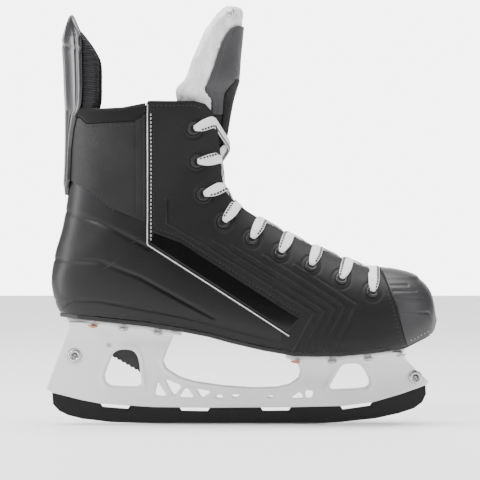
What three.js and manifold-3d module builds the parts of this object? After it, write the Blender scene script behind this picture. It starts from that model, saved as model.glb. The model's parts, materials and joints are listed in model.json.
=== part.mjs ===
// A right-foot ice hockey skate, about a men's size 9, as separate pieces.
// Millimetres, +Z up, +X towards the toe, -Y the lateral (outer) side of the foot.
// The origin is on the ice, under the middle of the whole skate.

import * as THREE from "three";
import { mergeVertices } from "three/addons/utils/BufferGeometryUtils.js";
import Module from "manifold-3d";

const wasm = await Module();
wasm.setup();

// Driving dimensions.

// Outlines are drawn for one base size and graded to the size that is made.
const base = { length: 306, width: 102, height: 329 };
const made = { length: 306, width: 102, height: 329 };

const gap = 0.3; // between pieces that rest on each other
const runningGap = 0.4; // round a shank, a pin or a blade in its slot

const shellWall = 2.5;
const skin = 1.4; // facings, side panels and ankle wrap
const collarBulge = 1.9;
const guardWall = 2.1;
const guardThickness = 2.6;
const guardPadThickness = 7;
const linerWall = 4;
const outsoleThickness = 3;
const boardThickness = 2;
const footbedThickness = 4;
const feltThickness = 9;
const tongueFaceThickness = 2;
const ventThickness = 1.2;
const lowerTongueThickness = 6.5;

const runnerThickness = 3;
const runnerSeat = 6; // how far the runner reaches up into the holder
const footHalf = 8; // half the holder's thickness round the runner
const flangeThickness = 3.6;
const flangeInset = 4; // from the edge of the sole

const eyelet = { hole: 2.6, barrel: 3.2, flange: 5, lip: 0.9 };
const laceRadius = 1.5;
const rivet = { shank: 2.1, head: 4, height: 1.6 };
const bolt = { shank: 2.4, head: 5.4, height: 2.6, socket: 2.3 };
const nut = { outer: 4.8, height: 2.6 };
const boltSeat = 8.2; // distance of a head's seat from the middle plane
const triggerHalf = 3.6;
const triggerPin = 1.5;

const facingOut = gap + skin; // the facing's outer face over the shell

const wide = 90; // half the width of a cutter that passes right through

// Grading and small helpers.

const gradeX = made.length / base.length;
const gradeY = made.width / base.width;
const gradeZ = made.height / base.height;
const degrees = Math.PI / 180;

function side(x, z) {
  return new THREE.Vector2(x * gradeX, z * gradeZ);
}

function outline(points) {
  return points.map(([x, z]) => side(x, z));
}

// Moves each corner of a closed outline outwards by a margin.
function grown(points, margin) {
  const turn = THREE.ShapeUtils.area(points) > 0 ? 1 : -1;
  return points.map((corner, i) => {
    const before = points[(i + points.length - 1) % points.length];
    const after = points[(i + 1) % points.length];
    const into = corner.clone().sub(before).normalize();
    const out = after.clone().sub(corner).normalize();
    const mitre = new THREE.Vector2(into.y + out.y, -into.x - out.x);
    const reach = (margin * turn * 2) / mitre.lengthSq();
    return corner.clone().addScaledVector(mitre, reach);
  });
}

// A closed shape with its corners rounded.
function roundedShape(points, radius) {
  const shape = new THREE.Shape();
  points.forEach((corner, i) => {
    const before = points[(i + points.length - 1) % points.length];
    const after = points[(i + 1) % points.length];
    const trimIn = Math.min(radius, corner.distanceTo(before) * 0.45);
    const trimOut = Math.min(radius, corner.distanceTo(after) * 0.45);
    const start = corner.clone().lerp(before, trimIn / corner.distanceTo(before));
    const end = corner.clone().lerp(after, trimOut / corner.distanceTo(after));
    if (i === 0) shape.moveTo(start.x, start.y);
    else shape.lineTo(start.x, start.y);
    shape.quadraticCurveTo(corner.x, corner.y, end.x, end.y);
  });
  shape.closePath();
  return shape;
}

function solidFrom(geometry) {
  const bare = geometry.index ? geometry.toNonIndexed() : geometry.clone();
  bare.deleteAttribute("normal");
  bare.deleteAttribute("uv");
  const merged = mergeVertices(bare, 1e-4);
  return new wasm.Manifold(
    new wasm.Mesh({
      numProp: 3,
      vertProperties: merged.attributes.position.array,
      triVerts: new Uint32Array(merged.index.array),
    }),
  );
}

function geometryFrom(solid) {
  const mesh = solid.getMesh();
  const geometry = new THREE.BufferGeometry();
  const positions = new Float32Array(mesh.vertProperties);
  geometry.setAttribute("position", new THREE.BufferAttribute(positions, 3));
  geometry.setIndex(new THREE.BufferAttribute(new Uint32Array(mesh.triVerts), 1));
  geometry.computeVertexNormals();
  return geometry;
}

// A side-view shape pushed through the skate between two distances across it.
function prism(shape, fromY, toY, curveSegments = 3) {
  const options = { depth: toY - fromY, bevelEnabled: false, curveSegments };
  const geometry = new THREE.ExtrudeGeometry(shape, options);
  geometry.rotateX(Math.PI / 2);
  geometry.translate(0, toY, 0);
  return solidFrom(geometry);
}

function polygonPrism(points, fromY = -wide, toY = wide) {
  return prism(new THREE.Shape(points), fromY, toY);
}

// A closed solid through rings of points. Each end is closed by a fan about its
// middle or, where the ring goes out along a sheet and back, by a strip across it.
function loft(rings, isSheet = false) {
  const count = rings[0].length;
  const positions = [];
  const put = (...points) => points.forEach((p) => positions.push(p.x, p.y, p.z));
  for (let r = 0; r + 1 < rings.length; r += 1) {
    for (let k = 0; k < count; k += 1) {
      const next = (k + 1) % count;
      put(rings[r][k], rings[r][next], rings[r + 1][next]);
      put(rings[r][k], rings[r + 1][next], rings[r + 1][k]);
    }
  }
  const ends = [rings[0], rings[rings.length - 1]];
  const close = (which, a, b, c) => (which === 0 ? put(a, c, b) : put(a, b, c));
  ends.forEach((ring, which) => {
    const middle = new THREE.Vector3();
    ring.forEach((p) => middle.addScaledVector(p, 1 / count));
    for (let k = 0; k < count && !isSheet; k += 1) {
      close(which, middle, ring[k], ring[(k + 1) % count]);
    }
    for (let k = 0; k + 1 < count / 2 && isSheet; k += 1) {
      const back = count - 1 - k;
      close(which, ring[k], ring[k + 1], ring[back]);
      close(which, ring[k + 1], ring[back - 1], ring[back]);
    }
  });
  const geometry = new THREE.BufferGeometry();
  geometry.setAttribute("position", new THREE.Float32BufferAttribute(positions, 3));
  const solid = solidFrom(geometry);
  if (solid.volume() > 0) return solid;
  const turned = [];
  for (let i = 0; i < positions.length; i += 9) {
    turned.push(...positions.slice(i, i + 3), ...positions.slice(i + 6, i + 9));
    turned.push(...positions.slice(i + 3, i + 6));
  }
  geometry.setAttribute("position", new THREE.Float32BufferAttribute(turned, 3));
  return solidFrom(geometry);
}

// The boot's outer surface is a loft of sections that swing from the toe, under
// the instep and round the heel, up to the collar. Each station holds the sole or
// heel end of the section, its instep end at the facing's edge, its half width,
// the sideways shift of its middle, where along it the boot is widest, how square
// its lower half is, and half the throat between the facings.
const stations = [
  { heel: [153, 79], edge: [153, 86], half: 9, shift: 4, widest: 0.5, square: 2.2, throat: 0 },
  { heel: [148.5, 65.5], edge: [149, 105], half: 27, shift: 4, widest: 0.48, square: 2.3, throat: 0 },
  { heel: [139, 61], edge: [138, 116.5], half: 38, shift: 3, widest: 0.42, square: 2.5, throat: 0 },
  { heel: [122, 56], edge: [122, 121.5], half: 45.5, shift: 1, widest: 0.38, square: 3.2, throat: 0 },
  { heel: [101, 52], edge: [101, 124], half: 49, shift: 0, widest: 0.36, square: 3.6, throat: 15 },
  { heel: [76, 50], edge: [78, 132], half: 49.4, shift: 0, widest: 0.35, square: 3.8, throat: 18 },
  { heel: [45, 50], edge: [52, 143.5], half: 47.5, shift: 0, widest: 0.35, square: 3.8, throat: 20 },
  { heel: [12, 55], edge: [24, 157.5], half: 43, shift: 0, widest: 0.36, square: 3.8, throat: 21.5 },
  { heel: [-24, 64], edge: [1.4, 171.4], half: 39.5, shift: 0, widest: 0.38, square: 3.8, throat: 23 },
  { heel: [-70, 72], edge: [-10, 183], half: 37.5, shift: 0, widest: 0.42, square: 3.8, throat: 25 },
  { heel: [-112, 77], edge: [-13.8, 196], half: 37, shift: 0, widest: 0.46, square: 3.6, throat: 26 },
  { heel: [-139, 85], edge: [-15, 207], half: 36.5, shift: 0, widest: 0.5, square: 3, throat: 27 },
  { heel: [-148.6, 108], edge: [-16, 215.5], half: 36.5, shift: 0, widest: 0.52, square: 2.4, throat: 28 },
  { heel: [-146.5, 132], edge: [-17.5, 223.5], half: 37, shift: 0, widest: 0.53, square: 2, throat: 29 },
  { heel: [-140, 156], edge: [-19, 231], half: 38, shift: 0, widest: 0.54, square: 2, throat: 30 },
  { heel: [-135.5, 185], edge: [-21.5, 239], half: 40, shift: 0, widest: 0.54, square: 2, throat: 31 },
  { heel: [-134, 218], edge: [-25, 247], half: 42, shift: 0, widest: 0.54, square: 2, throat: 32 },
  { heel: [-134, 258], edge: [-30, 259], half: 43.5, shift: 0, widest: 0.54, square: 2, throat: 32 },
];
const instepSquare = 2.5;
const loftSteps = 24;
const ringPoints = 16;

function lineOf(values) {
  return new THREE.SplineCurve(values.map((v, i) => new THREE.Vector2(i, v)));
}

const heelLine = new THREE.SplineCurve(stations.map((s) => side(...s.heel)));
const edgeLine = new THREE.SplineCurve(stations.map((s) => side(...s.edge)));
const columns = {};
for (const key of ["half", "shift", "throat"]) {
  columns[key] = lineOf(stations.map((s) => s[key] * gradeY));
}
for (const key of ["widest", "square"]) {
  columns[key] = lineOf(stations.map((s) => s[key]));
}

// The section at a place along the loft, 0 at the toe and 1 at the collar.
function sectionAt(t) {
  const heel = heelLine.getPoint(t);
  const edge = edgeLine.getPoint(t);
  edge.addScaledVector(edge.clone().sub(heel).normalize(), -facingOut);
  const section = { heel, edge };
  for (const key of Object.keys(columns)) section[key] = columns[key].getPoint(t).y;
  section.throat = Math.max(section.throat, 0);
  const flat = Math.pow(section.throat / section.half, instepSquare / 2);
  const rise = Math.pow(1 - flat * flat, 1 / instepSquare);
  const reach = section.widest + (1 - section.widest) * rise;
  section.crest = heel.clone().lerp(edge, 1 / reach);
  return section;
}

function bootRing(t, offset) {
  const section = sectionAt(t);
  const up = section.crest.clone().sub(section.heel).normalize();
  const low = section.heel.clone().addScaledVector(up, -offset);
  const high = section.crest.clone().addScaledVector(up, offset);
  const ring = [];
  for (let k = 0; k < ringPoints; k += 1) {
    const angle = (2 * Math.PI * k) / ringPoints - Math.PI / 2;
    const rise = Math.sin(angle);
    const across = Math.cos(angle);
    const power = 2 / (rise < 0 ? section.square : instepSquare);
    const span = rise < 0 ? section.widest : 1 - section.widest;
    const along = section.widest + span * Math.sign(rise) * Math.pow(Math.abs(rise), power);
    const out = Math.sign(across) * Math.pow(Math.abs(across), power);
    const at = low.clone().lerp(high, along);
    const y = section.shift + (section.half + offset) * out;
    ring.push(new THREE.Vector3(at.x, y, at.y));
  }
  return ring;
}

// The boot's solid moved in or out by an offset, as a block of one piece.
const bootSolids = new Map();
function bootSolid(offset) {
  if (!bootSolids.has(offset)) {
    const nose = heelLine.getPoint(0).x;
    const rings = [];
    for (let k = 0; k <= loftSteps; k += 1) {
      const t = k / loftSteps;
      if (nose - heelLine.getPoint(t).x >= -offset * 0.8) rings.push(bootRing(t, offset));
    }
    bootSolids.set(offset, loft(rings));
  }
  return bootSolids.get(offset);
}

function layer(inner, outer) {
  return bootSolid(outer).subtract(bootSolid(inner));
}

// How far out the boot's surface is at a place in the side view.
function halfWidthAt(place, offset) {
  let from = 0;
  let to = 1;
  const sideOf = (t) => {
    const section = sectionAt(t);
    const up = section.crest.clone().sub(section.heel);
    return up.cross(place.clone().sub(section.heel));
  };
  for (let i = 0; i < 40; i += 1) {
    const middle = (from + to) / 2;
    if (sideOf(middle) > 0) from = middle;
    else to = middle;
  }
  const section = sectionAt(from);
  const length = section.crest.distanceTo(section.heel);
  const along = (place.distanceTo(section.heel) + offset) / (length + 2 * offset);
  const upper = along > section.widest;
  const power = upper ? instepSquare : section.square;
  const span = upper ? 1 - section.widest : section.widest;
  const part = Math.min(Math.abs(along - section.widest) / span, 1);
  const out = Math.pow(1 - Math.pow(part, power), 1 / power);
  return { out: (section.half + offset) * out, shift: section.shift };
}

function surfacePoint(place, hand, offset) {
  const found = halfWidthAt(place, offset);
  return new THREE.Vector3(place.x, found.shift + hand * found.out, place.y);
}

function surfaceNormal(place, hand) {
  const step = 2;
  const across = (dx, dz) => {
    const near = surfacePoint(place.clone().add(new THREE.Vector2(-dx, -dz)), hand, 0);
    const far = surfacePoint(place.clone().add(new THREE.Vector2(dx, dz)), hand, 0);
    return far.sub(near);
  };
  const normal = across(step, 0).cross(across(0, step)).normalize();
  return normal.y * hand > 0 ? normal : normal.negate();
}

// The sole's underside in the side view, and strips at a height above it.
const soleLine = outline([
  [-165, 86.5],
  [-137, 84.1],
  [-112, 81.8],
  [-74, 77.8],
  [-49, 73.9],
  [-24, 69.1],
  [-7, 64.4],
  [17, 58.9],
  [41, 54.8],
  [60, 54.4],
  [78, 54.6],
  [107, 57.3],
  [129, 60],
  [142, 66],
  [165, 76],
]);

function soleStrip(low, high) {
  const top = soleLine.map((p) => new THREE.Vector2(p.x, p.y + high));
  const bottom = soleLine.map((p) => new THREE.Vector2(p.x, p.y + low));
  return polygonPrism([...bottom, ...top.reverse()]);
}

function soleHeight(x) {
  const after = soleLine.findIndex((p) => p.x > x);
  const right = soleLine[after];
  const left = soleLine[after - 1];
  return left.y + ((right.y - left.y) * (x - left.x)) / (right.x - left.x);
}

const tall = 400;

// Layers from the ice up: the boot's pieces start at these heights over the sole.
const boardLow = outsoleThickness + gap;
const linerLow = boardLow + boardThickness + gap;

const cut = {
  aboveOutsole: soleStrip(boardLow, tall),
  aboveBoard: soleStrip(linerLow, tall),
};

// The throat's opening between the facings, from the toe end up past the collar.
function throatCutter() {
  const toeEnd = 3.75 / (stations.length - 1);
  const rings = [];
  for (let k = 0; k <= 20; k += 1) {
    const section = sectionAt(toeEnd + ((1 - toeEnd) * k) / 20);
    const up = section.crest.clone().sub(section.heel).normalize();
    const low = section.edge.clone().addScaledVector(up, -11);
    const high = section.crest.clone().addScaledVector(up, 14);
    const { shift, throat } = section;
    rings.push([
      new THREE.Vector3(low.x, shift + throat, low.y),
      new THREE.Vector3(high.x, shift + throat, high.y),
      new THREE.Vector3(high.x, shift - throat, high.y),
      new THREE.Vector3(low.x, shift - throat, low.y),
    ]);
  }
  return loft(rings);
}
cut.throat = throatCutter();

// Seams of the upper in the side view.
const toeSeam = [
  [129, 50],
  [128.6, 61.4],
  [126.6, 70.7],
  [121.4, 91.5],
  [114.8, 108.6],
  [110.9, 117.7],
  [107, 126],
  [107, 150],
];
const collarTop = [
  [-150, 251.5],
  [-124.7, 250.4],
  [-110, 248.6],
  [-91, 249.2],
  [-71.6, 252.6],
];
const facingTop = [
  [-71.6, 253.4],
  [-36, 253.2],
  [-28, 251],
  [-22.5, 245.5],
  [-19, 237],
  [0, 232],
];
const collarSeam = [
  [-150, 247],
  [-123.6, 242.4],
  [-119, 236.3],
  [-82, 237.3],
  [-75.8, 241.2],
  [-71.6, 246.9],
];
const ankleSeam = [
  [-150, 193],
  [-131, 191.2],
  [-120.4, 185.3],
  [-99.5, 169.7],
  [-71.6, 158],
];
const pipingCorner = [-71.6, 141.5];
const pipingToe = [39, 71];
const rearSeam = [pipingCorner, pipingToe, [31, 40]];
const sidePanel = [
  [-70.6, 142.5],
  [-66.5, 151],
  [-48, 144],
  [46.4, 83.7],
  [38.2, 72.4],
];

const beforeToeSeam = polygonPrism([
  ...outline([[-200, 0]]),
  ...outline(toeSeam),
  ...outline([[-200, 400]]),
]);
const afterToeSeam = polygonPrism([
  ...grown(outline([...toeSeam, [190, 150], [190, 50]]), -gap),
]);

function below(line) {
  const ends = [side(line[0][0], 0), side(line[line.length - 1][0] + 300, 0)];
  const far = side(line[line.length - 1][0] + 300, line[line.length - 1][1]);
  return polygonPrism([ends[0], ...outline(line), far, ends[1]]);
}

// Eyelets.

const eyeletPlaces = outline([
  [102.5, 103.9],
  [78.7, 113.8],
  [55.2, 124.3],
  [31.6, 134.3],
  [9.2, 145.4],
  [-13, 158.7],
  [-29, 180.4],
  [-34, 206.3],
  [-36.8, 231.9],
]);
const hands = { lateral: -1, medial: 1 };

function aim(geometry, at, direction) {
  const turn = new THREE.Quaternion();
  turn.setFromUnitVectors(new THREE.Vector3(0, 1, 0), direction.clone().normalize());
  geometry.applyQuaternion(turn);
  geometry.translate(at.x, at.y, at.z);
  return geometry;
}

function rod(at, direction, radius, from, to, sides = 12) {
  const geometry = new THREE.CylinderGeometry(radius, radius, to - from, sides);
  geometry.translate(0, (from + to) / 2, 0);
  return solidFrom(aim(geometry, at, direction));
}

function eyeletFrame(place, hand) {
  const at = surfacePoint(place, hand, facingOut);
  const normal = surfaceNormal(place, hand);
  return { at, normal };
}

function eyeletGeometry({ at, normal }) {
  const back = -(shellWall + facingOut + 2 * gap);
  const { hole, barrel, flange, lip } = eyelet;
  const profile = [
    [hole, back - lip],
    [barrel, back - lip],
    [barrel, gap],
    [flange, gap],
    [flange - 0.9, gap + lip],
    [hole, gap + lip * 0.7],
    [hole, back - lip],
  ];
  const points = profile.map(([r, y]) => new THREE.Vector2(r, y));
  return aim(new THREE.LatheGeometry(points, 8), at, normal);
}

const eyeletHoles = [];
for (const hand of Object.values(hands)) {
  for (const place of eyeletPlaces) {
    const { at, normal } = eyeletFrame(place, hand);
    const radius = eyelet.barrel + runningGap;
    eyeletHoles.push(rod(at, normal, radius, -9, 6, 8));
  }
}

function punched(solid, holes) {
  return holes.reduce((rest, hole) => rest.subtract(hole), solid);
}

// The boot's upper.

function quarterShell() {
  const wall = layer(-shellWall, 0).intersect(cut.aboveOutsole).subtract(cut.throat);
  const trimmed = wall.intersect(beforeToeSeam).intersect(below([...collarTop, ...facingTop]));
  return punched(trimmed, eyeletHoles);
}

function facing(hand) {
  const region = outline([...rearSeam, [129, 40], ...toeSeam, [10, 160], ...[...facingTop].reverse()]);
  const from = hand < 0 ? -wide : 1;
  const to = hand < 0 ? -1 : wide;
  const wall = layer(gap, facingOut).intersect(polygonPrism(region, from, to));
  const trimmed = wall.subtract(cut.throat).intersect(cut.aboveOutsole);
  const opened = trimmed.subtract(polygonPrism(grown(outline(sidePanel), gap)));
  return punched(opened, eyeletHoles);
}

function sidePanelSolid(hand) {
  const from = hand < 0 ? -wide : 1;
  const to = hand < 0 ? -1 : wide;
  return layer(gap, facingOut).intersect(polygonPrism(outline(sidePanel), from, to));
}

const wrapFront = -73.4;

function beforeFacing(points) {
  return points.map(([x, z]) => [Math.min(x, wrapFront), z]);
}

function ankleWrap() {
  const region = outline([...beforeFacing(ankleSeam), ...beforeFacing(collarSeam).reverse()]);
  return layer(gap, gap + skin).intersect(polygonPrism(region));
}

function collarRoll() {
  const low = beforeFacing(collarSeam).map(([x, z]) => [x, z + 0.5]);
  const region = outline([...low, ...beforeFacing(collarTop).reverse()]);
  return layer(gap, gap + collarBulge).intersect(polygonPrism(region));
}

function toeCap() {
  return layer(-shellWall, facingOut).intersect(cut.aboveOutsole).intersect(afterToeSeam);
}

const linerOut = -shellWall - gap;
const linerIn = linerOut - linerWall;

function liner() {
  const behindEyelets = outline([
    [-160, 40],
    [160, 40],
    [160, 118],
    [118, 118],
    [112, 92],
    [98, 84],
    [20, 118],
    [-20, 140],
    [-44, 172],
    [-50, 205],
    [-54, 247],
    [-124, 247],
    [-160, 247],
  ]);
  const wall = layer(linerIn, linerOut).intersect(cut.aboveBoard);
  return wall.intersect(polygonPrism(behindEyelets));
}

// A plate along the sole, between two heights over it, inside the boot's outline.
function solePlate({ from, to, inset, low, high, steps = 14 }) {
  const near = [];
  const far = [];
  for (let k = 0; k <= steps; k += 1) {
    const along = (1 - Math.cos((Math.PI * k) / steps)) / 2;
    const x = (from + (to - from) * along) * gradeX;
    const found = halfWidthAt(new THREE.Vector2(x, soleHeight(x) + (low + high) / 2), 0);
    const round = Math.pow(1 - Math.pow(Math.abs(2 * along - 1), 9), 1 / 3);
    const reach = Math.max((found.out - inset) * round, 3);
    near.push(new THREE.Vector2(x, -found.shift + reach));
    far.push(new THREE.Vector2(x, -found.shift - reach));
  }
  const shape = new THREE.Shape([...near, ...far.reverse()]);
  const geometry = new THREE.ExtrudeGeometry(shape, { depth: tall, bevelEnabled: false });
  geometry.rotateX(Math.PI);
  geometry.translate(0, 0, tall / 2);
  return solidFrom(geometry).intersect(soleStrip(low, high));
}

function outsole() {
  return solePlate({ from: -142, to: 150, inset: 0.5, low: 0, high: outsoleThickness });
}

function insoleBoard() {
  const high = boardLow + boardThickness;
  const plate = solePlate({ from: -138, to: 145, inset: shellWall, low: boardLow, high });
  return plate.intersect(bootSolid(linerOut));
}

function footbed() {
  const high = linerLow + footbedThickness;
  const plate = solePlate({ from: -133, to: 139, inset: -linerIn, low: linerLow, high });
  return plate.intersect(bootSolid(linerIn - gap));
}

const wrapSag = 0.6; // how far a wrap's flats dip inside its curve

// Wrapped sheets: the tongue and the tendon guard. Each station holds the middle
// of the sheet's outer face, the way that face looks, how deep and how wide the
// wrap is, and how far round it goes on each side.
function wrap(rows, thickness, inset = 0, across = 10) {
  const rings = rows.map((row) => {
    const look = new THREE.Vector2(Math.cos(row.tilt * degrees), Math.sin(row.tilt * degrees));
    const middle = side(...row.at).addScaledVector(look, -row.depth * gradeX);
    const pointAt = (angle, inward) => {
      const out = (row.depth * gradeX - inward) * Math.cos(angle);
      const y = (row.half * gradeY - inward) * Math.sin(angle);
      const at = middle.clone().addScaledVector(look, out);
      return new THREE.Vector3(at.x, y, at.y);
    };
    const ring = [];
    for (let k = 0; k <= across; k += 1) {
      ring.push(pointAt(row.spread * degrees * ((2 * k) / across - 1), inset));
    }
    for (let k = across; k >= 0; k -= 1) {
      ring.push(pointAt(row.spread * degrees * ((2 * k) / across - 1), inset + thickness));
    }
    return ring;
  });
  return loft(rings, true);
}

const tongueRows = [
  { at: [98, 116.5], tilt: 74, depth: 16, half: 24, spread: 60 },
  { at: [80, 123.5], tilt: 68, depth: 19, half: 29, spread: 70 },
  { at: [58, 130.5], tilt: 65, depth: 22, half: 29, spread: 74 },
  { at: [36, 141.5], tilt: 63, depth: 23, half: 29, spread: 76 },
  { at: [14, 153], tilt: 60, depth: 24, half: 29, spread: 76 },
  { at: [-5, 165], tilt: 50, depth: 26, half: 29, spread: 76 },
  { at: [-15, 181], tilt: 28, depth: 29, half: 27, spread: 76 },
  { at: [-18.5, 196], tilt: 10, depth: 32, half: 25, spread: 76 },
  { at: [-16, 211], tilt: 2, depth: 35, half: 24, spread: 76 },
  { at: [-11.5, 226], tilt: 0, depth: 36, half: 24, spread: 76 },
  { at: [-8.8, 240.2], tilt: 0, depth: 36, half: 25, spread: 76 },
];
const upperTongueRows = [
  { at: [-8.2, 243.2], tilt: 0, depth: 36, half: 27, spread: 78, face: 52 },
  { at: [-6, 253.4], tilt: 0, depth: 38, half: 29, spread: 82, face: 55 },
  { at: [-5.4, 256], tilt: 0, depth: 49, half: 35, spread: 88, face: 55 },
  { at: [-3.6, 263], tilt: 0, depth: 49, half: 40, spread: 86, face: 58 },
  { at: [-0.9, 271.4], tilt: 0, depth: 47, half: 43, spread: 82, face: 58 },
  { at: [0.3, 287], tilt: 0, depth: 48, half: 46, spread: 74, face: 51 },
  { at: [1.7, 300], tilt: 0, depth: 48, half: 47, spread: 67, face: 46 },
  { at: [2.8, 309.5], tilt: 0, depth: 48, half: 47, spread: 62, face: 37 },
  { at: [3.6, 313.2], tilt: 0, depth: 48, half: 47, spread: 59, face: 22 },
  { at: [4.6, 320.5], tilt: 0, depth: 48, half: 47, spread: 52 },
  { at: [5, 326], tilt: 0, depth: 48, half: 47, spread: 38 },
  { at: [5, 329], tilt: 0, depth: 48, half: 47, spread: 20 },
];
const ventRows = [
  { at: [-6, 254.5], tilt: 0, depth: 42, half: 31, spread: 34 },
  { at: [-3.6, 263], tilt: 0, depth: 49, half: 40, spread: 30 },
  { at: [-0.9, 271.4], tilt: 0, depth: 47, half: 43, spread: 22 },
];

const faceRows = upperTongueRows
  .filter((row) => row.face)
  .map((row) => ({ ...row, spread: row.face }));

const guardRows = [
  { at: [-138.8, 248.2], tilt: 180, depth: 38, half: 38, spread: 50 },
  { at: [-139.3, 262], tilt: 180, depth: 38, half: 38, spread: 53 },
  { at: [-140, 281], tilt: 180, depth: 38, half: 38, spread: 54 },
  { at: [-141, 300], tilt: 180, depth: 38, half: 38, spread: 55 },
  { at: [-140, 307], tilt: 180, depth: 38, half: 38, spread: 51 },
  { at: [-138, 314], tilt: 180, depth: 38, half: 38, spread: 39 },
  { at: [-135.8, 319.5], tilt: 180, depth: 38, half: 38, spread: 24 },
  { at: [-134.2, 322.4], tilt: 180, depth: 38, half: 38, spread: 10 },
];
const guardPadRows = [
  { at: [-139, 254.5], tilt: 180, depth: 38, half: 38, spread: 72 },
  { at: [-139.6, 270], tilt: 180, depth: 38, half: 38, spread: 74 },
  { at: [-140.2, 286], tilt: 180, depth: 38, half: 38, spread: 74 },
  { at: [-140.7, 296], tilt: 180, depth: 38, half: 38, spread: 66 },
  { at: [-140.3, 304], tilt: 180, depth: 38, half: 38, spread: 52 },
  { at: [-139.7, 308], tilt: 180, depth: 38, half: 38, spread: 40 },
];
const guardTailEdge = [
  [-160, 246.6],
  [-125.1, 246.6],
  [-128.9, 231],
  [-130.4, 218],
  [-131.5, 191.6],
  [-134.4, 188],
  [-137.4, 176],
  [-160, 176],
];

function guardTail() {
  const inner = gap + collarBulge + gap;
  return layer(inner, inner + guardWall).intersect(polygonPrism(outline(guardTailEdge)));
}

// The blade holder.

const holderBottom = [
  [-152.9, 27.7],
  [-148.4, 24.9],
  [-124.7, 18.9],
  [-110.5, 16.2],
  [-69.4, 13.4],
  [-25.2, 12.8],
  [41.2, 13.3],
  [79.9, 14.1],
  [104.4, 17.1],
  [125.7, 23.3],
  [147.4, 31],
];
const holderFront = [
  [148.6, 33.6],
  [143.9, 37.8],
  [137.5, 43.8],
  [131.7, 49.8],
  [127.5, 56.5],
  [129.3, 62],
];
const bridgeTop = [
  [38.8, 56],
  [39.5, 52.5],
  [46, 46.5],
  [47.4, 41.5],
  [45.9, 36.4],
  [38.8, 31.4],
  [28.9, 29.2],
  [8, 28.8],
  [-14.1, 30.5],
  [-36.3, 33.8],
  [-47.3, 37.1],
  [-57.5, 43.6],
  [-60.6, 50],
  [-51.3, 72.6],
  [-49, 78],
];
const rearWindow = [
  [-100.5, 55.6],
  [-95, 58.9],
  [-84, 58.6],
  [-79.9, 52],
  [-77.2, 29.2],
  [-104, 30],
  [-107.6, 37],
];
const frontWindow = [
  [80.5, 47.6],
  [95, 47.9],
  [102.8, 34],
  [100, 28.6],
  [69, 27],
];
const trussHoles = [
  [[-64.9, 33.8], [-57.3, 21.7], [-67.2, 22.2]],
  [[-59.6, 35.9], [-45.7, 30.4], [-51.7, 21.7]],
  [[-42.3, 29.3], [-35.5, 20.7], [-48.1, 20.7]],
  [[-34.7, 28], [-22.3, 25.7], [-29.5, 20.1]],
  [[-15.7, 24.1], [-11.5, 20.4], [-21.2, 20.4]],
  [[-7.8, 23.6], [1.7, 23.3], [-3.9, 20.1]],
  [[13.1, 22], [18.2, 20.5], [7.2, 20.5]],
  [[19.8, 22.5], [28.9, 22.5], [24.6, 20.1]],
  [[47.5, 25.7], [50.6, 20.1], [38.8, 20.1]],
  [[51.5, 27], [58, 26.2], [57, 20.2], [51.8, 20.2]],
];

const boltPlaces = { rear: side(-130.2, 54), front: side(138.3, 36.9) };
const tabRadius = { rear: 6.6, front: 4.9 };

// Rivets along the flanges: where along the skate, and how far out before the wall.
const rivetPlaces = [
  [-115, 21.5],
  [-91, 23.5],
  [-64, 23.5],
  [43.5, 32.5],
  [72, 35],
  [99.6, 34],
  [125.5, 27.3],
];

const seatEnds = [-142, 126];

function holderBottomHeight(x) {
  const line = outline(holderBottom);
  const after = line.findIndex((p) => p.x > x);
  const right = line[after];
  const left = line[after - 1];
  return left.y + ((right.y - left.y) * (x - left.x)) / (right.x - left.x);
}

// Points along the holder's lower edge, moved up by a rise.
function alongBottom(from, to, rise) {
  const ends = [from * gradeX, to * gradeX];
  const corners = outline(holderBottom).map((p) => p.x);
  const between = corners.filter((x) => x > ends[0] + 1 && x < ends[1] - 1);
  const all = [ends[0], ...between, ends[1]];
  return all.map((x) => new THREE.Vector2(x, holderBottomHeight(x) + rise));
}

// The blade slot: a groove along the holder's foot, and a pocket for each tab.
function bladeProfile(margin) {
  const [from, to] = [seatEnds[0] - margin, seatEnds[1] + margin];
  const high = alongBottom(from, to, runnerSeat + margin);
  return [...alongBottom(from, to, -12), ...high.reverse()];
}

function tabProfile(which, margin) {
  const at = boltPlaces[which];
  const radius = tabRadius[which] + margin;
  const lean = which === "rear" ? side(-136, 20) : side(131, 24);
  const along = at.clone().sub(lean).normalize();
  const off = new THREE.Vector2(-along.y, along.x).multiplyScalar(radius);
  const shape = [lean.clone().sub(off), at.clone().sub(off)];
  for (let k = 1; k < 8; k += 1) {
    const angle = (-90 + (180 * k) / 8) * degrees;
    const round = along.clone().multiplyScalar(Math.cos(angle) * radius);
    shape.push(at.clone().add(round).addScaledVector(off, Math.sin(angle)));
  }
  shape.push(at.clone().add(off), lean.clone().add(off));
  return shape;
}

// Cross-section of a tower: the foot's thickness, flaring towards the flange.
function towerEnvelope(fromX, toX, flareStart, flareHalf, top) {
  const profile = [
    [-footHalf, 0],
    [footHalf, 0],
    [footHalf, flareStart],
    [footHalf + 2.2, flareStart + (top - flareStart) * 0.45],
    [flareHalf * 0.7, flareStart + (top - flareStart) * 0.78],
    [flareHalf, top],
    [-flareHalf, top],
    [-flareHalf * 0.7, flareStart + (top - flareStart) * 0.78],
    [-footHalf - 2.2, flareStart + (top - flareStart) * 0.45],
    [-footHalf, flareStart],
  ];
  const shape = new THREE.Shape(profile.map(([y, z]) => new THREE.Vector2(y, z * gradeZ)));
  const length = (toX - fromX) * gradeX;
  const geometry = new THREE.ExtrudeGeometry(shape, { depth: length, bevelEnabled: false });
  geometry.rotateX(Math.PI / 2);
  geometry.rotateZ(Math.PI / 2);
  geometry.translate(fromX * gradeX, 0, 0);
  return solidFrom(geometry);
}

// A flange under the sole for one tower.
function flange(from, to) {
  const low = -flangeThickness - gap;
  return solePlate({ from, to, inset: flangeInset, low, high: -gap, steps: 10 });
}

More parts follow.
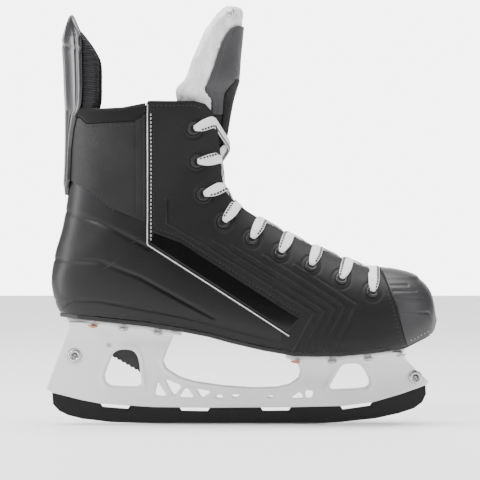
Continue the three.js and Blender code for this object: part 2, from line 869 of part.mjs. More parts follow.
const triggerPivot = side(-103, 62.5);
const triggerPocket = outline([
  [-110, 58],
  [-110, 67.5],
  [-104, 70],
  [-76, 69.5],
  [-71.5, 62],
  [-71.5, 38],
  [-84, 38],
  [-102, 48],
]);

function holder() {
  const underFlange = gap + flangeThickness / 2;
  const soleSide = soleLine
    .filter((p) => p.x > 42 * gradeX && p.x < 128 * gradeX)
    .map((p) => new THREE.Vector2(p.x, p.y - underFlange))
    .reverse();
  const heelSide = soleLine
    .filter((p) => p.x > -130 * gradeX && p.x < -50 * gradeX)
    .map((p) => new THREE.Vector2(p.x, p.y - underFlange))
    .reverse();
  const profile = [
    ...outline([...holderBottom, ...holderFront.slice(0, -1)]),
    side(127.6, 58),
    ...soleSide,
    ...outline(bridgeTop.slice(1, -1)),
    ...heelSide,
    ...outline([[-135.4, 81], [-134.6, 76]]),
  ];
  const body = polygonPrism(profile);
  const slab = polygonPrism(profile, -footHalf, footHalf);
  const rear = towerEnvelope(-156, -46, 46, 22, 90);
  const front = towerEnvelope(30, 152, 36, 30, 62);
  let solid = slab.add(body.intersect(rear)).add(body.intersect(front));
  solid = solid.add(flange(-137, -46)).add(flange(36, 130));
  for (const window of [rearWindow, frontWindow]) {
    solid = solid.subtract(prism(roundedShape(outline(window), 5), -wide, wide));
  }
  for (const hole of trussHoles) {
    solid = solid.subtract(prism(roundedShape(outline(hole), 1.2), -wide, wide, 1));
  }
  const slotHalf = runnerThickness / 2 + runningGap;
  solid = solid.subtract(polygonPrism(bladeProfile(runningGap), -slotHalf, slotHalf));
  for (const which of ["rear", "front"]) {
    solid = solid.subtract(polygonPrism(tabProfile(which, runningGap), -slotHalf, slotHalf));
    const at = new THREE.Vector3(boltPlaces[which].x, 0, boltPlaces[which].y);
    const across = new THREE.Vector3(0, 1, 0);
    solid = solid.subtract(rod(at, across, bolt.shank + runningGap, -wide, wide));
    solid = solid.subtract(rod(at, across, bolt.head + gap, boltSeat - gap, wide, 16));
    solid = solid.subtract(rod(at, across, bolt.head + gap, -wide, -boltSeat + gap, 16));
  }
  const pocketHalf = triggerHalf + runningGap;
  solid = solid.subtract(polygonPrism(triggerPocket, -pocketHalf, pocketHalf));
  const pin = new THREE.Vector3(triggerPivot.x, 0, triggerPivot.y);
  solid = solid.subtract(rod(pin, new THREE.Vector3(0, 1, 0), triggerPin + gap, -wide, wide));
  return punched(solid, rivetHoles);
}

// Rivets stand square to the sole, heads under the flange.
function rivetFrame([x, y], hand) {
  const at = x * gradeX;
  const slope = (soleHeight(at + 5) - soleHeight(at - 5)) / 10;
  const up = new THREE.Vector3(-slope, 0, 1).normalize();
  const seat = new THREE.Vector3(at, hand * (y * gradeY - shellWall), soleHeight(at));
  return { seat, up };
}

function rivetGeometry({ seat, up }) {
  const low = -flangeThickness - 2 * gap;
  const top = boardLow + boardThickness;
  const { shank, head, height } = rivet;
  const profile = [
    [0, low - height],
    [head * 0.75, low - height * 0.8],
    [head, low],
    [shank, low],
    [shank, top],
    [0, top],
  ];
  const points = profile.map(([r, y]) => new THREE.Vector2(r, y));
  return aim(new THREE.LatheGeometry(points, 8), seat, up);
}

const rivetHoles = [];
for (const hand of Object.values(hands)) {
  for (const place of rivetPlaces) {
    const { seat, up } = rivetFrame(place, hand);
    rivetHoles.push(rod(seat, up, rivet.shank + runningGap, -12, 9, 8));
  }
}

function bored(solid) {
  return punched(solid, rivetHoles);
}

// The runner.

const runnerEdge = [
  [-149.2, 22],
  [-147.7, 15.4],
  [-142.4, 9.9],
  [-135.8, 6.7],
  [-124.7, 3.9],
  [-102.6, 1.3],
  [-80.5, 0.5],
  [-60, 0],
  [60, 0],
  [80, 1.3],
  [107.5, 4.2],
  [125.7, 8.3],
  [137.5, 12.2],
  [143.9, 17],
  [146.9, 23.3],
  [147.2, 29.8],
];
const runnerSlots = [
  [-110.5, -86.5],
  [-48, -23.5],
  [16, 40.5],
  [79, 104.5],
];
const slotDepth = 2.8;

function runner() {
  const [from, to] = seatEnds;
  const profile = [
    ...outline(runnerEdge.slice(1, -1)),
    ...alongBottom(to, 146.4, -gap).reverse(),
    ...alongBottom(from, to, runnerSeat).reverse(),
    ...alongBottom(-148.3, from, -gap).reverse(),
  ];
  const half = runnerThickness / 2;
  let solid = polygonPrism(profile, -half, half);
  for (const which of ["rear", "front"]) {
    solid = solid.add(polygonPrism(tabProfile(which, 0), -half, half));
  }
  for (const [from, to] of runnerSlots) {
    const ends = [from * gradeX, to * gradeX];
    const low = ends.map((x) => holderBottomHeight(x) - slotDepth);
    const notch = [
      new THREE.Vector2(ends[0] + 2, low[0]),
      new THREE.Vector2(ends[1] - 2, low[1]),
      new THREE.Vector2(ends[1], low[1] + 3),
      new THREE.Vector2(ends[1], low[1] + 20),
      new THREE.Vector2(ends[0], low[0] + 20),
      new THREE.Vector2(ends[0], low[0] + 3),
    ];
    solid = solid.subtract(polygonPrism(notch));
  }
  for (const place of Object.values(boltPlaces)) {
    const at = new THREE.Vector3(place.x, 0, place.y);
    const radius = bolt.shank + runningGap;
    solid = solid.subtract(rod(at, new THREE.Vector3(0, 1, 0), radius, -wide, wide));
  }
  return solid;
}

function boltSolid(place) {
  const { shank, head, height, socket } = bolt;
  const end = 2 * boltSeat + nut.height + 0.8;
  const profile = [
    [0, -height],
    [head * 0.8, -height],
    [head, -height * 0.45],
    [head, 0],
    [shank, 0],
    [shank, end],
    [0, end],
  ];
  const points = profile.map(([r, y]) => new THREE.Vector2(r, y));
  const seat = new THREE.Vector3(place.x, -boltSeat, place.y);
  const across = new THREE.Vector3(0, 1, 0);
  const blank = solidFrom(aim(new THREE.LatheGeometry(points, 16), seat, across));
  return blank.subtract(rod(seat, across, socket, -height - 1, -0.8, 6));
}

function nutSolid(place) {
  const seat = new THREE.Vector3(place.x, boltSeat + gap, place.y);
  const across = new THREE.Vector3(0, 1, 0);
  const blank = rod(seat, across, nut.outer, 0, nut.height, 6);
  return blank.subtract(rod(seat, across, bolt.shank + gap, -1, nut.height + 1));
}

// The blade release: a serrated trigger on a pin inside the rear tower.

function trigger() {
  const grip = { from: side(-104.2, 56.2), to: side(-77.4, 40.9) };
  const along = grip.to.clone().sub(grip.from);
  const out = new THREE.Vector2(along.y, -along.x).normalize();
  const teeth = 8;
  const toothDepth = 1.1;
  const points = [side(-107.5, 60.5)];
  for (let k = 0; k < teeth; k += 1) {
    points.push(grip.from.clone().addScaledVector(along, k / teeth));
    const crown = grip.from.clone().addScaledVector(along, (k + 0.6) / teeth);
    points.push(crown.addScaledVector(out, toothDepth));
  }
  points.push(grip.to);
  points.push(...outline([[-74.5, 43], [-74.2, 56], [-79, 62], [-92, 64.6], [-103.5, 66.6]]));
  points.push(...outline([[-107.3, 64.8]]));
  const blank = polygonPrism(points, -triggerHalf, triggerHalf);
  const at = new THREE.Vector3(triggerPivot.x, 0, triggerPivot.y);
  return blank.subtract(rod(at, new THREE.Vector3(0, 1, 0), triggerPin + gap, -9, 9));
}

// The lace: one flat lace, drawn as a round tube of its thickness. It crosses over
// each facing's edge into an eyelet from outside, and under the facing to the next
// crossing. Both ends go in through the top eyelets and are tucked inside.

class Route extends THREE.Curve {
  constructor(points) {
    super();
    this.points = points;
  }

  getPoint(t) {
    const last = this.points.length - 1;
    const place = Math.min(Math.max(t, 0), 1) * last;
    const index = Math.min(Math.floor(place), last - 1);
    return this.points[index].clone().lerp(this.points[index + 1], place - index);
  }

  getPointAt(t) {
    return this.getPoint(t);
  }

  getTangentAt(t) {
    const last = this.points.length - 1;
    const index = Math.round(t * last);
    const before = this.points[Math.max(index - 1, 0)];
    const after = this.points[Math.min(index + 1, last)];
    const into = this.points[index].clone().sub(before).normalize();
    const out = after.clone().sub(this.points[index]).normalize();
    return into.add(out).normalize();
  }
}

// The facing's edge beside an eyelet: the nearest place along the edge line.
function edgeBeside(place, hand) {
  let best = null;
  for (let k = 0; k <= 400; k += 1) {
    const section = sectionAt(k / 400);
    const distance = section.edge.distanceTo(place);
    if (!best || distance < best.distance) best = { distance, section };
  }
  const { section } = best;
  const up = section.crest.clone().sub(section.heel).normalize();
  const y = section.shift + hand * section.throat;
  return { at: new THREE.Vector3(section.edge.x, y, section.edge.y), up, section };
}

function laceRow(row, hand) {
  const { at, normal } = eyeletFrame(eyeletPlaces[row], hand);
  const rim = edgeBeside(eyeletPlaces[row], hand);
  const rise = new THREE.Vector3(rim.up.x, 0, rim.up.y);
  const inwards = new THREE.Vector3(0, -hand, 0);
  const outward = normal.clone().add(rise).normalize();
  const clear = laceRadius + 2.4;
  const under = shellWall + gap + laceRadius + 1.6;
  const behind = shellWall + facingOut + 2 * gap + eyelet.lip + laceRadius + 1;
  const half = eyeletPlaces[row].clone().lerp(new THREE.Vector2(rim.at.x, rim.at.z), 0.5);
  const shoulder = surfacePoint(half, hand, facingOut);
  return {
    outside: at.clone().addScaledVector(normal, eyelet.lip + clear),
    inside: at.clone().addScaledVector(normal, -behind),
    over: rim.at.clone().addScaledVector(outward, facingOut + clear),
    shoulder: shoulder.addScaledVector(surfaceNormal(half, hand), clear),
    under: rim.at.clone().addScaledVector(rise, -under).addScaledVector(inwards, 1.5),
    rise,
  };
}

// The front of the tongue nearest to a place, and the way it looks there.
function tongueFront(place) {
  const fronts = tongueRows.map((row) => side(...row.at));
  const path = new THREE.SplineCurve(fronts);
  const looks = lineOf(tongueRows.map((row) => row.tilt));
  let best = null;
  for (let k = 0; k <= 200; k += 1) {
    const at = path.getPoint(k / 200);
    const distance = at.distanceTo(place);
    if (!best || distance < best.distance) best = { distance, at, tilt: looks.getPoint(k / 200).y };
  }
  const look = new THREE.Vector3(Math.cos(best.tilt * degrees), 0, Math.sin(best.tilt * degrees));
  return { at: new THREE.Vector3(best.at.x, 0, best.at.y), look };
}

const ankleRow = 5; // from this row up the tongue stands proud of the throat

// One half of the lace, from a toe eyelet up to the top one on the same or other side.
function laceHalf(firstHand, isUpper) {
  const points = [];
  let hand = firstHand;
  for (let row = 0; row + 1 < eyeletPlaces.length; row += 1) {
    const leaving = laceRow(row, hand);
    const arriving = laceRow(row + 1, -hand);
    points.push(leaving.inside, leaving.under);
    if (isUpper || row >= ankleRow) {
      const halfway = leaving.under.clone().add(arriving.over).multiplyScalar(0.5);
      const front = tongueFront(new THREE.Vector2(halfway.x, halfway.z));
      const lift = laceRadius + (row >= ankleRow ? 4 : 5.5) + (isUpper ? 2.4 * laceRadius : 0);
      points.push(front.at.addScaledVector(front.look, lift));
    }
    points.push(arriving.over);
    if (row < 2) points.push(arriving.shoulder);
    points.push(arriving.outside);
    hand = -hand;
  }
  const last = laceRow(eyeletPlaces.length - 1, hand);
  points.push(last.inside);
  points.push(last.inside.clone().add(new THREE.Vector3(-5, 0, -22)));
  return points;
}

function laceGeometry() {
  const lateral = laceRow(0, hands.lateral);
  const medial = laceRow(0, hands.medial);
  const bar = [lateral.outside, lateral.shoulder, lateral.over];
  bar.push(medial.over, medial.shoulder, medial.outside);
  const rising = laceHalf(hands.lateral, true);
  const other = laceHalf(hands.medial, false);
  const points = [...rising.reverse(), ...bar, ...other];
  const section = new THREE.Shape();
  section.absarc(0, 0, laceRadius, 0, 2 * Math.PI, false);
  return new THREE.ExtrudeGeometry(section, {
    steps: points.length - 1,
    curveSegments: 4,
    extrudePath: new Route(points),
    bevelEnabled: false,
  });
}

// Materials and the assembly.

const finishes = {
  composite: { color: "#3a3a3c", roughness: 0.42, metalness: 0.1 },
  leather: { color: "#1c1c1e", roughness: 0.6, metalness: 0 },
  gloss: { color: "#08080a", roughness: 0.12, metalness: 0 },
  ankle: { color: "#303032", roughness: 0.6, metalness: 0 },
  cap: { color: "#4a4a4c", roughness: 0.5, metalness: 0 },
  foam: { color: "#242427", roughness: 0.9, metalness: 0 },
  felt: { color: "#e8e8e8", roughness: 0.95, metalness: 0 },
  tongue: { color: "#555558", roughness: 0.6, metalness: 0 },
  mesh: { color: "#101011", roughness: 0.8, metalness: 0 },
  guard: { color: "#4c4d50", roughness: 0.3, metalness: 0 },
  holder: { color: "#d4d4d2", roughness: 0.45, metalness: 0 },
  blade: { color: "#1c1c1c", roughness: 0.35, metalness: 0.9 },
  steel: { color: "#8d8f92", roughness: 0.3, metalness: 1 },
  copper: { color: "#b06a45", roughness: 0.35, metalness: 1 },
  blackMetal: { color: "#17171a", roughness: 0.35, metalness: 0.8 },
  blackPlastic: { color: "#141414", roughness: 0.5, metalness: 0 },
  lace: { color: "#f2f2f2", roughness: 0.9, metalness: 0 },
};

const skate = new THREE.Group();

function place(name, shape, finish) {
  const geometry = shape.isBufferGeometry ? shape : geometryFrom(shape);
  const mesh = new THREE.Mesh(geometry, new THREE.MeshStandardMaterial(finishes[finish]));
  mesh.name = name;
  skate.add(mesh);
}

place("quarter_shell", quarterShell(), "composite");
for (const [name, hand] of Object.entries(hands)) {
  place(`facing_${name}`, facing(hand), "leather");
  place(`side_panel_${name}`, sidePanelSolid(hand), "gloss");
}
place("ankle_wrap", ankleWrap(), "ankle");
place("collar_roll", collarRoll(), "foam");
place("toe_cap", toeCap(), "cap");
place("liner", liner(), "foam");
place("outsole", bored(outsole()), "blackPlastic");
place("insole_board", bored(insoleBoard()), "blackPlastic");
place("footbed", footbed(), "foam");

place("tongue_lower", wrap(tongueRows, lowerTongueThickness), "foam");
const faceBack = tongueFaceThickness + gap + wrapSag;
place("tongue_felt", wrap(upperTongueRows, feltThickness, faceBack), "felt");
const ventPocket = wrap(ventRows, 3 * tongueFaceThickness, -tongueFaceThickness);
place("tongue_face", wrap(faceRows, tongueFaceThickness).subtract(ventPocket), "tongue");
const ventSeat = tongueFaceThickness - ventThickness;
const vent = ventRows.map((row, i) => {
  const trim = [2 * gap, 0, -2 * gap][i];
  return { ...row, at: [row.at[0], row.at[1] + trim], spread: row.spread - 1 };
});
place("tongue_vent", wrap(vent, ventThickness, ventSeat), "mesh");

place("guard_tail", guardTail(), "guard");
place("guard_shell", wrap(guardRows, guardThickness), "guard");
place("guard_pad", wrap(guardPadRows, guardPadThickness, guardThickness + gap + 0.3), "foam");

place("holder", holder(), "holder");
place("runner", runner(), "blade");
place("trigger", trigger(), "blackPlastic");
const pinSeat = new THREE.Vector3(triggerPivot.x, 0, triggerPivot.y);
place("trigger_pin", rod(pinSeat, new THREE.Vector3(0, 1, 0), triggerPin, -8, 8), "steel");
for (const [name, at] of Object.entries(boltPlaces)) {
  place(`${name}_bolt`, boltSolid(at), "blackMetal");
  place(`${name}_nut`, nutSolid(at), "steel");
}

const copperRivets = [0, 3];
for (const [name, hand] of Object.entries(hands)) {
  rivetPlaces.forEach((spot, i) => {
    const finish = copperRivets.includes(i) ? "copper" : "steel";
    place(`rivet_${name}_${i + 1}`, rivetGeometry(rivetFrame(spot, hand)), finish);
  });
  eyeletPlaces.forEach((spot, i) => {
    place(`eyelet_${name}_${i + 1}`, eyeletGeometry(eyeletFrame(spot, hand)), "blackMetal");
  });
}
place("lace", laceGeometry(), "lace");

export default skate;
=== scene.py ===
import json
import math

import bpy
import numpy as np
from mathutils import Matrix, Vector

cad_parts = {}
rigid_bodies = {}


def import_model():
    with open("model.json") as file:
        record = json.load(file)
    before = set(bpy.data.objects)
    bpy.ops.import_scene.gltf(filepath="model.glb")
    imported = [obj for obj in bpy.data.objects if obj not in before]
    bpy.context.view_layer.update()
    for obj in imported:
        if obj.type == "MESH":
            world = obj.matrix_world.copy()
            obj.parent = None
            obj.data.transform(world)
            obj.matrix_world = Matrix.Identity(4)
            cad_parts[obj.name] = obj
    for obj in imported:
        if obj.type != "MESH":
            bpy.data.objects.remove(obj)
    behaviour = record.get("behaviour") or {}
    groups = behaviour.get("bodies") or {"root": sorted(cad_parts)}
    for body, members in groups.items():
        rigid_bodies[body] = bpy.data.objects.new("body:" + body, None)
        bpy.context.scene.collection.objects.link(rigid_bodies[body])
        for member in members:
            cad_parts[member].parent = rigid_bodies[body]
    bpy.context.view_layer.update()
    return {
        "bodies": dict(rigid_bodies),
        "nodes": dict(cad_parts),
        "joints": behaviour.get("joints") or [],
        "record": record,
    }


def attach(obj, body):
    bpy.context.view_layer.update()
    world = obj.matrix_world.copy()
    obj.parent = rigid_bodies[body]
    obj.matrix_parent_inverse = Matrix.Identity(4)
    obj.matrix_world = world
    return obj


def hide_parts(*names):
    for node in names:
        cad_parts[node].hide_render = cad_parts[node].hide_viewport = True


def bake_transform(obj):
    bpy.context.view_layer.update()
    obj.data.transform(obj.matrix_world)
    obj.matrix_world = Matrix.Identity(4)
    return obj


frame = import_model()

MM = 0.001
LATERAL, MEDIAL = -1, 1
HANDS = {"lateral": LATERAL, "medial": MEDIAL}
ROOT = "boot_and_blade"

# ---------------------------------------------------------------- camera and light

CAMERA_DISTANCE = 2.6
VIEW_WIDTH = 0.3792
EYE_HEIGHT = 0.145
SENSOR_WIDTH = 36
# Each studio light: where it stands, what it aims at, its width and height, and its watts.
LIGHTS = {
    "key_light": ((-1.3, -1.1, 1.3), (0, 0, 0.12), (0.5, 0.5), 30),
    "top_light": ((0.1, 0.5, 2.0), (0, 0.3, 0.0), (2.2, 2.2), 40),
    "heel_light": ((-1.5, 0.1, 0.35), (-0.1, 0, 0.2), (0.4, 0.8), 16),
    "toe_light": ((1.4, -0.6, 0.6), (0.1, 0, 0.1), (0.5, 0.7), 8),
}
OVERHEAD_STRENGTH = 4.6
# The room is dim apart from a bright backdrop behind the skate.
BACKDROP = {"From Min": 0.86, "From Max": 0.98, "To Min": 0.3, "To Max": 6.0}
FLOOR_REACH = 6
FLOOR_DROP = 0.0004


def set_camera():
    lens = bpy.data.cameras.new("side_camera")
    lens.sensor_width = SENSOR_WIDTH
    lens.lens = SENSOR_WIDTH * CAMERA_DISTANCE / VIEW_WIDTH
    camera = bpy.data.objects.new("side_camera", lens)
    camera.location = (0, -CAMERA_DISTANCE, EYE_HEIGHT)
    camera.rotation_euler = (math.radians(90), 0, 0)
    bpy.context.scene.collection.objects.link(camera)
    bpy.context.scene.camera = camera


def soft_light(name, place, aim, size, power):
    lamp = bpy.data.lights.new(name, "AREA")
    lamp.shape = "RECTANGLE"
    lamp.size, lamp.size_y = size
    lamp.energy = power
    light = bpy.data.objects.new(name, lamp)
    light.location = place
    light.rotation_euler = (Vector(aim) - Vector(place)).to_track_quat("-Z", "Y").to_euler()
    bpy.context.scene.collection.objects.link(light)


def set_stage():
    world = bpy.data.worlds.new("studio")
    world.use_nodes = True
    nodes, links = world.node_tree.nodes, world.node_tree.links
    look = nodes.new("ShaderNodeTexCoord")
    parts = nodes.new("ShaderNodeSeparateXYZ")
    backdrop = nodes.new("ShaderNodeMapRange")
    for name, value in BACKDROP.items():
        backdrop.inputs[name].default_value = value
    links.new(look.outputs["Generated"], parts.inputs[0])
    links.new(parts.outputs["Y"], backdrop.inputs["Value"])
    links.new(backdrop.outputs[0], nodes["Background"].inputs["Strength"])
    nodes["Background"].inputs["Color"].default_value = (1, 1, 1, 1)
    bpy.context.scene.world = world
    for name, (place, aim, size, power) in LIGHTS.items():
        soft_light(name, place, aim, size, power)
    sky = bpy.data.lights.new("overhead_light", "SUN")
    sky.energy = OVERHEAD_STRENGTH
    sky.angle = math.radians(60)
    bpy.context.scene.collection.objects.link(bpy.data.objects.new("overhead_light", sky))
    floor = bpy.data.meshes.new("floor")
    signs = [(-1, -1), (1, -1), (1, 1), (-1, 1)]
    corners = [(FLOOR_REACH * x, FLOOR_REACH * y, 0) for x, y in signs]
    floor.from_pydata(corners, [], [(0, 1, 2, 3)])
    plane = bpy.data.objects.new("floor", floor)
    plane.location.z = -FLOOR_DROP
    bpy.context.scene.collection.objects.link(plane)
    floor.materials.append(floor_paint())


# ---------------------------------------------------------------- shader expressions


class Wire:
    """A shader socket that takes part in sums."""

    def __init__(self, shop, socket):
        self.shop = shop
        self.socket = socket

    def sum(self, operation, *others, turned=False):
        terms = [self, *others]
        if turned:
            terms.reverse()
        sockets = dict(enumerate(terms))
        return self.shop.node("ShaderNodeMath", {"operation": operation}, sockets)

    def __add__(self, other):
        return self.sum("ADD", other)

    def __sub__(self, other):
        return self.sum("SUBTRACT", other)

    def __mul__(self, other):
        return self.sum("MULTIPLY", other)

    def __rsub__(self, other):
        return self.sum("SUBTRACT", other, turned=True)

    __radd__ = __add__
    __rmul__ = __mul__

    def sin(self):
        return self.sum("SINE")

    def abs(self):
        return self.sum("ABSOLUTE")

    def above(self, other):
        return self.sum("GREATER_THAN", other)

    def between(self, low, high):
        sockets = {"Value": self, "From Min": low, "From Max": high}
        return self.shop.node("ShaderNodeMapRange", {"clamp": True}, sockets)


class Finish:
    """One material and the nodes that make it."""

    def __init__(self, name):
        self.material = bpy.data.materials.new(name)
        self.material.use_nodes = True
        self.tree = self.material.node_tree
        self.tree.nodes.clear()

    def node(self, kind, settings, sockets, outlet=0):
        node = self.tree.nodes.new(kind)
        for key, value in settings.items():
            setattr(node, key, value)
        for key, value in sockets.items():
            if isinstance(value, Wire):
                self.tree.links.new(value.socket, node.inputs[key])
            else:
                node.inputs[key].default_value = value
        return Wire(self, node.outputs[outlet]) if outlet is not None else None

    def place(self):
        """Where a point is, in millimetres."""
        at = self.node("ShaderNodeTexCoord", {}, {}, "Object")
        return self.node("ShaderNodeVectorMath", {"operation": "SCALE"}, {0: at, "Scale": 1000.0})

    def axes(self):
        at = self.place()
        return [self.node("ShaderNodeSeparateXYZ", {}, {0: at}, axis) for axis in range(3)]

    def noise(self, size, detail=3.0, stretch=None):
        """Cloudy variation from 0 to 1 with features of a size in millimetres."""
        at = self.place()
        if stretch:
            at = self.node("ShaderNodeVectorMath", {"operation": "MULTIPLY"}, {0: at, 1: stretch})
        sockets = {"Vector": at, "Scale": 1.0 / size, "Detail": detail, "Roughness": 0.55}
        return self.node("ShaderNodeTexNoise", {}, sockets)

    def grain(self, size):
        """Cells like the pores of leather."""
        sockets = {"Vector": self.place(), "Scale": 1.0 / size}
        return self.node("ShaderNodeTexVoronoi", {"feature": "DISTANCE_TO_EDGE"}, sockets)

    def mix(self, share, first, second):
        def colour(value):
            return value if isinstance(value, Wire) else (*value, 1)

        sockets = {0: share, 6: colour(first), 7: colour(second)}
        return self.node("ShaderNodeMix", {"data_type": "RGBA"}, sockets, 2)

    def bump(self, height, depth, strength=0.6):
        sockets = {"Height": height, "Distance": depth * MM, "Strength": strength}
        return self.node("ShaderNodeBump", {}, sockets)

    def done(self, colour, roughness, **more):
        names = {"metal": "Metallic", "normal": "Normal", "coat": "Coat Weight",
                 "coat_roughness": "Coat Roughness", "sheen": "Sheen Weight",
                 "specular": "Specular IOR Level"}
        if not isinstance(colour, Wire):
            colour = (*colour, 1)
        sockets = {"Base Color": colour, "Roughness": roughness}
        sockets.update({names[key]: value for key, value in more.items()})
        surface = self.node("ShaderNodeBsdfPrincipled", {}, sockets)
        self.node("ShaderNodeOutputMaterial", {}, {"Surface": surface}, None)
        return self.material


# ---------------------------------------------------------------- finishes


def floor_paint():
    make = Finish("floor_paint")
    shade = make.mix(make.noise(400), (0.9, 0.9, 0.9), (0.93, 0.93, 0.93))
    return make.done(shade, 0.7, specular=0.2)


def composite_shell():
    """Carbon twill under a satin resin, in soft darker and lighter bands."""
    make = Finish("composite_shell")
    across, _, up = make.axes()
    twill = ((across + up) * 2.6).sin() * ((across - up) * 2.6).sin()
    thread = twill.above(0.0)
    bands = ((up + across * 0.35 + make.noise(60) * 14.0) * 0.14).sin().between(-0.2, 0.9)
    heel = across.between(-60.0, -125.0)
    weave = make.mix(thread * bands, (0.002, 0.002, 0.0025), (0.006, 0.006, 0.007))
    shade = make.mix(heel * 0.75, weave, (0.012, 0.012, 0.013))
    rough = 0.26 + thread * 0.08 + heel * 0.16 + make.noise(9) * 0.06
    return make.done(shade, rough, normal=make.bump(twill, 0.05, 0.25), coat=0.08,
                     coat_roughness=0.25, specular=0.22)


def leather(name, dark, light, rough, pore=1.1, depth=0.12):
    """Embossed synthetic leather: fine pores, a slow mottle and worn high spots."""
    make = Finish(name)
    pores = make.grain(pore)
    creases = make.noise(7, 5)
    shade = make.mix(make.noise(34, 2).between(0.3, 0.7), dark, light)
    gloss = rough + make.noise(16) * 0.12 - creases * 0.06
    height = pores.between(0.0, 0.25) + creases * 0.8
    return make.done(shade, gloss, normal=make.bump(height, depth, 0.5), specular=0.24)


def gloss_panel():
    make = Finish("gloss_panel")
    shade = make.mix(make.noise(20), (0.001, 0.001, 0.001), (0.002, 0.002, 0.002))
    ripple = make.noise(18, 1)
    return make.done(shade, 0.1 + make.noise(5) * 0.05, normal=make.bump(ripple, 0.25, 0.2),
                     coat=0.08, coat_roughness=0.08, specular=0.2)


def toe_plastic():
    make = Finish("toe_plastic")
    stipple = make.noise(0.5, 2)
    shade = make.mix(make.noise(26), (0.014, 0.014, 0.015), (0.022, 0.022, 0.024))
    return make.done(shade, 0.4 + stipple * 0.12, normal=make.bump(stipple, 0.06, 0.4), specular=0.4)


def knitted_padding(name, dark, light):
    make = Finish(name)
    across, side, up = make.axes()
    loops = ((across + side * 0.6) * 5.2).sin() * (up * 4.4).sin()
    shade = make.mix(loops.between(-1, 1), dark, light)
    fuzz = make.noise(0.6, 4)
    return make.done(shade, 0.82 + fuzz * 0.12, sheen=0.05, specular=0.2,
                     normal=make.bump(loops + fuzz * 0.5, 0.16, 0.7))


def ribbed_cloth():
    make = Finish("ribbed_cloth")
    across, side, up = make.axes()
    ribs = ((up + across * 0.15) * 3.4).sin()
    weave = (side * 6.0).sin() * (up * 7.0).sin()
    shade = make.mix(ribs.between(-1, 1), (0.004, 0.004, 0.005), (0.018, 0.018, 0.02))
    return make.done(shade, 0.78 + weave * 0.05, sheen=0.05, specular=0.2,
                     normal=make.bump(ribs + weave * 0.4, 0.3, 0.8))


def wool_felt():
    make = Finish("wool_felt")
    streaks = make.noise(1.6, 5, stretch=(1.0, 1.0, 0.22))
    clumps = make.noise(7, 3, stretch=(1.0, 1.0, 0.5))
    shade = make.mix(clumps.between(0.35, 0.7), (0.66, 0.67, 0.67), (0.9, 0.9, 0.9))
    shade = make.mix(streaks.between(0.55, 0.75) * 0.35, shade, (0.42, 0.43, 0.43))
    return make.done(shade, 0.95, sheen=0.4,
                     normal=make.bump(streaks + clumps, 0.5, 0.8))


def vent_mesh():
    make = Finish("vent_mesh")
    _, side, up = make.axes()
    cells = ((side + up * 0.7) * 2.0).sin() * ((side - up * 0.7) * 2.0).sin()
    shade = make.mix(cells.abs().between(0.1, 0.6), (0.002, 0.002, 0.0025), (0.012, 0.012, 0.013))
    return make.done(shade, 0.6 + make.noise(3) * 0.1, specular=0.12,
                     normal=make.bump(cells.abs(), 0.25, 0.6))


def guard_plastic():
    make = Finish("guard_plastic")
    shade = make.mix(make.noise(30), (0.010, 0.010, 0.012), (0.018, 0.018, 0.021))
    brushed = make.noise(2.4, 4, stretch=(1.0, 1.0, 0.08))
    return make.done(shade, 0.24 + brushed * 0.12, normal=make.bump(brushed, 0.05, 0.3),
                     coat=0.25, coat_roughness=0.15)


def holder_plastic():
    make = Finish("holder_plastic")
    stipple = make.noise(0.7, 2)
    shade = make.mix(make.noise(45, 2), (0.69, 0.69, 0.685), (0.75, 0.75, 0.745))
    scuffs = make.noise(3, 5, stretch=(0.15, 1.0, 1.0)).between(0.68, 0.74)
    shade = make.mix(scuffs * 0.25, shade, (0.5, 0.5, 0.5))
    return make.done(shade, 0.38 + stipple * 0.12, normal=make.bump(stipple, 0.04, 0.3))


def black_steel():
    """Coated steel, ground along its length and bright on the skating edge."""
    make = Finish("black_steel")
    _, _, up = make.axes()
    grind = make.noise(0.5, 4, stretch=(0.02, 1.0, 1.0))
    shade = make.mix(grind, (0.004, 0.004, 0.0045), (0.01, 0.01, 0.011))
    edge = up.between(1.3, 0.2)
    shade = make.mix(edge * 0.5, shade, (0.2, 0.2, 0.21))
    return make.done(shade, 0.3 + grind * 0.14, metal=0.55, normal=make.bump(grind, 0.03, 0.3))


def metal(name, colour, rough):
    make = Finish(name)
    smudge = make.noise(1.5, 3)
    darker = tuple(0.72 * part for part in colour)
    shade = make.mix(smudge, darker, colour)
    return make.done(shade, rough + smudge * 0.12, metal=1.0, normal=make.bump(smudge, 0.02, 0.3))


def black_moulding():
    make = Finish("black_moulding")
    stipple = make.noise(0.6, 3)
    shade = make.mix(make.noise(20), (0.006, 0.006, 0.007), (0.013, 0.013, 0.014))
    return make.done(shade, 0.5 + stipple * 0.14, normal=make.bump(stipple, 0.05, 0.4))


def lace_weave():
    make = Finish("lace_weave")
    across, side, up = make.axes()
    braid = ((across + up) * 4.2).sin() * ((across - up + side) * 4.2).sin()
    shade = make.mix(braid.between(-1, 1), (0.68, 0.68, 0.69), (0.88, 0.88, 0.88))
    return make.done(shade, 0.85, sheen=0.2, normal=make.bump(braid, 0.18, 0.7))


def thread(name, colour):
    make = Finish(name)
    across, side, up = make.axes()
    twist = ((across + up + side) * 9.0).sin()
    darker = tuple(0.6 * part for part in colour)
    shade = make.mix(twist.between(-1, 1), darker, colour)
    return make.done(shade, 0.6 + twist * 0.05, normal=make.bump(twist, 0.1, 0.6))


def silver_piping():
    make = Finish("silver_piping")
    weave = make.noise(0.8, 3)
    shade = make.mix(weave, (0.5, 0.5, 0.51), (0.74, 0.74, 0.75))
    return make.done(shade, 0.3 + weave * 0.1, metal=0.5, normal=make.bump(weave, 0.05, 0.4))


# ---------------------------------------------------------------- mesh helpers


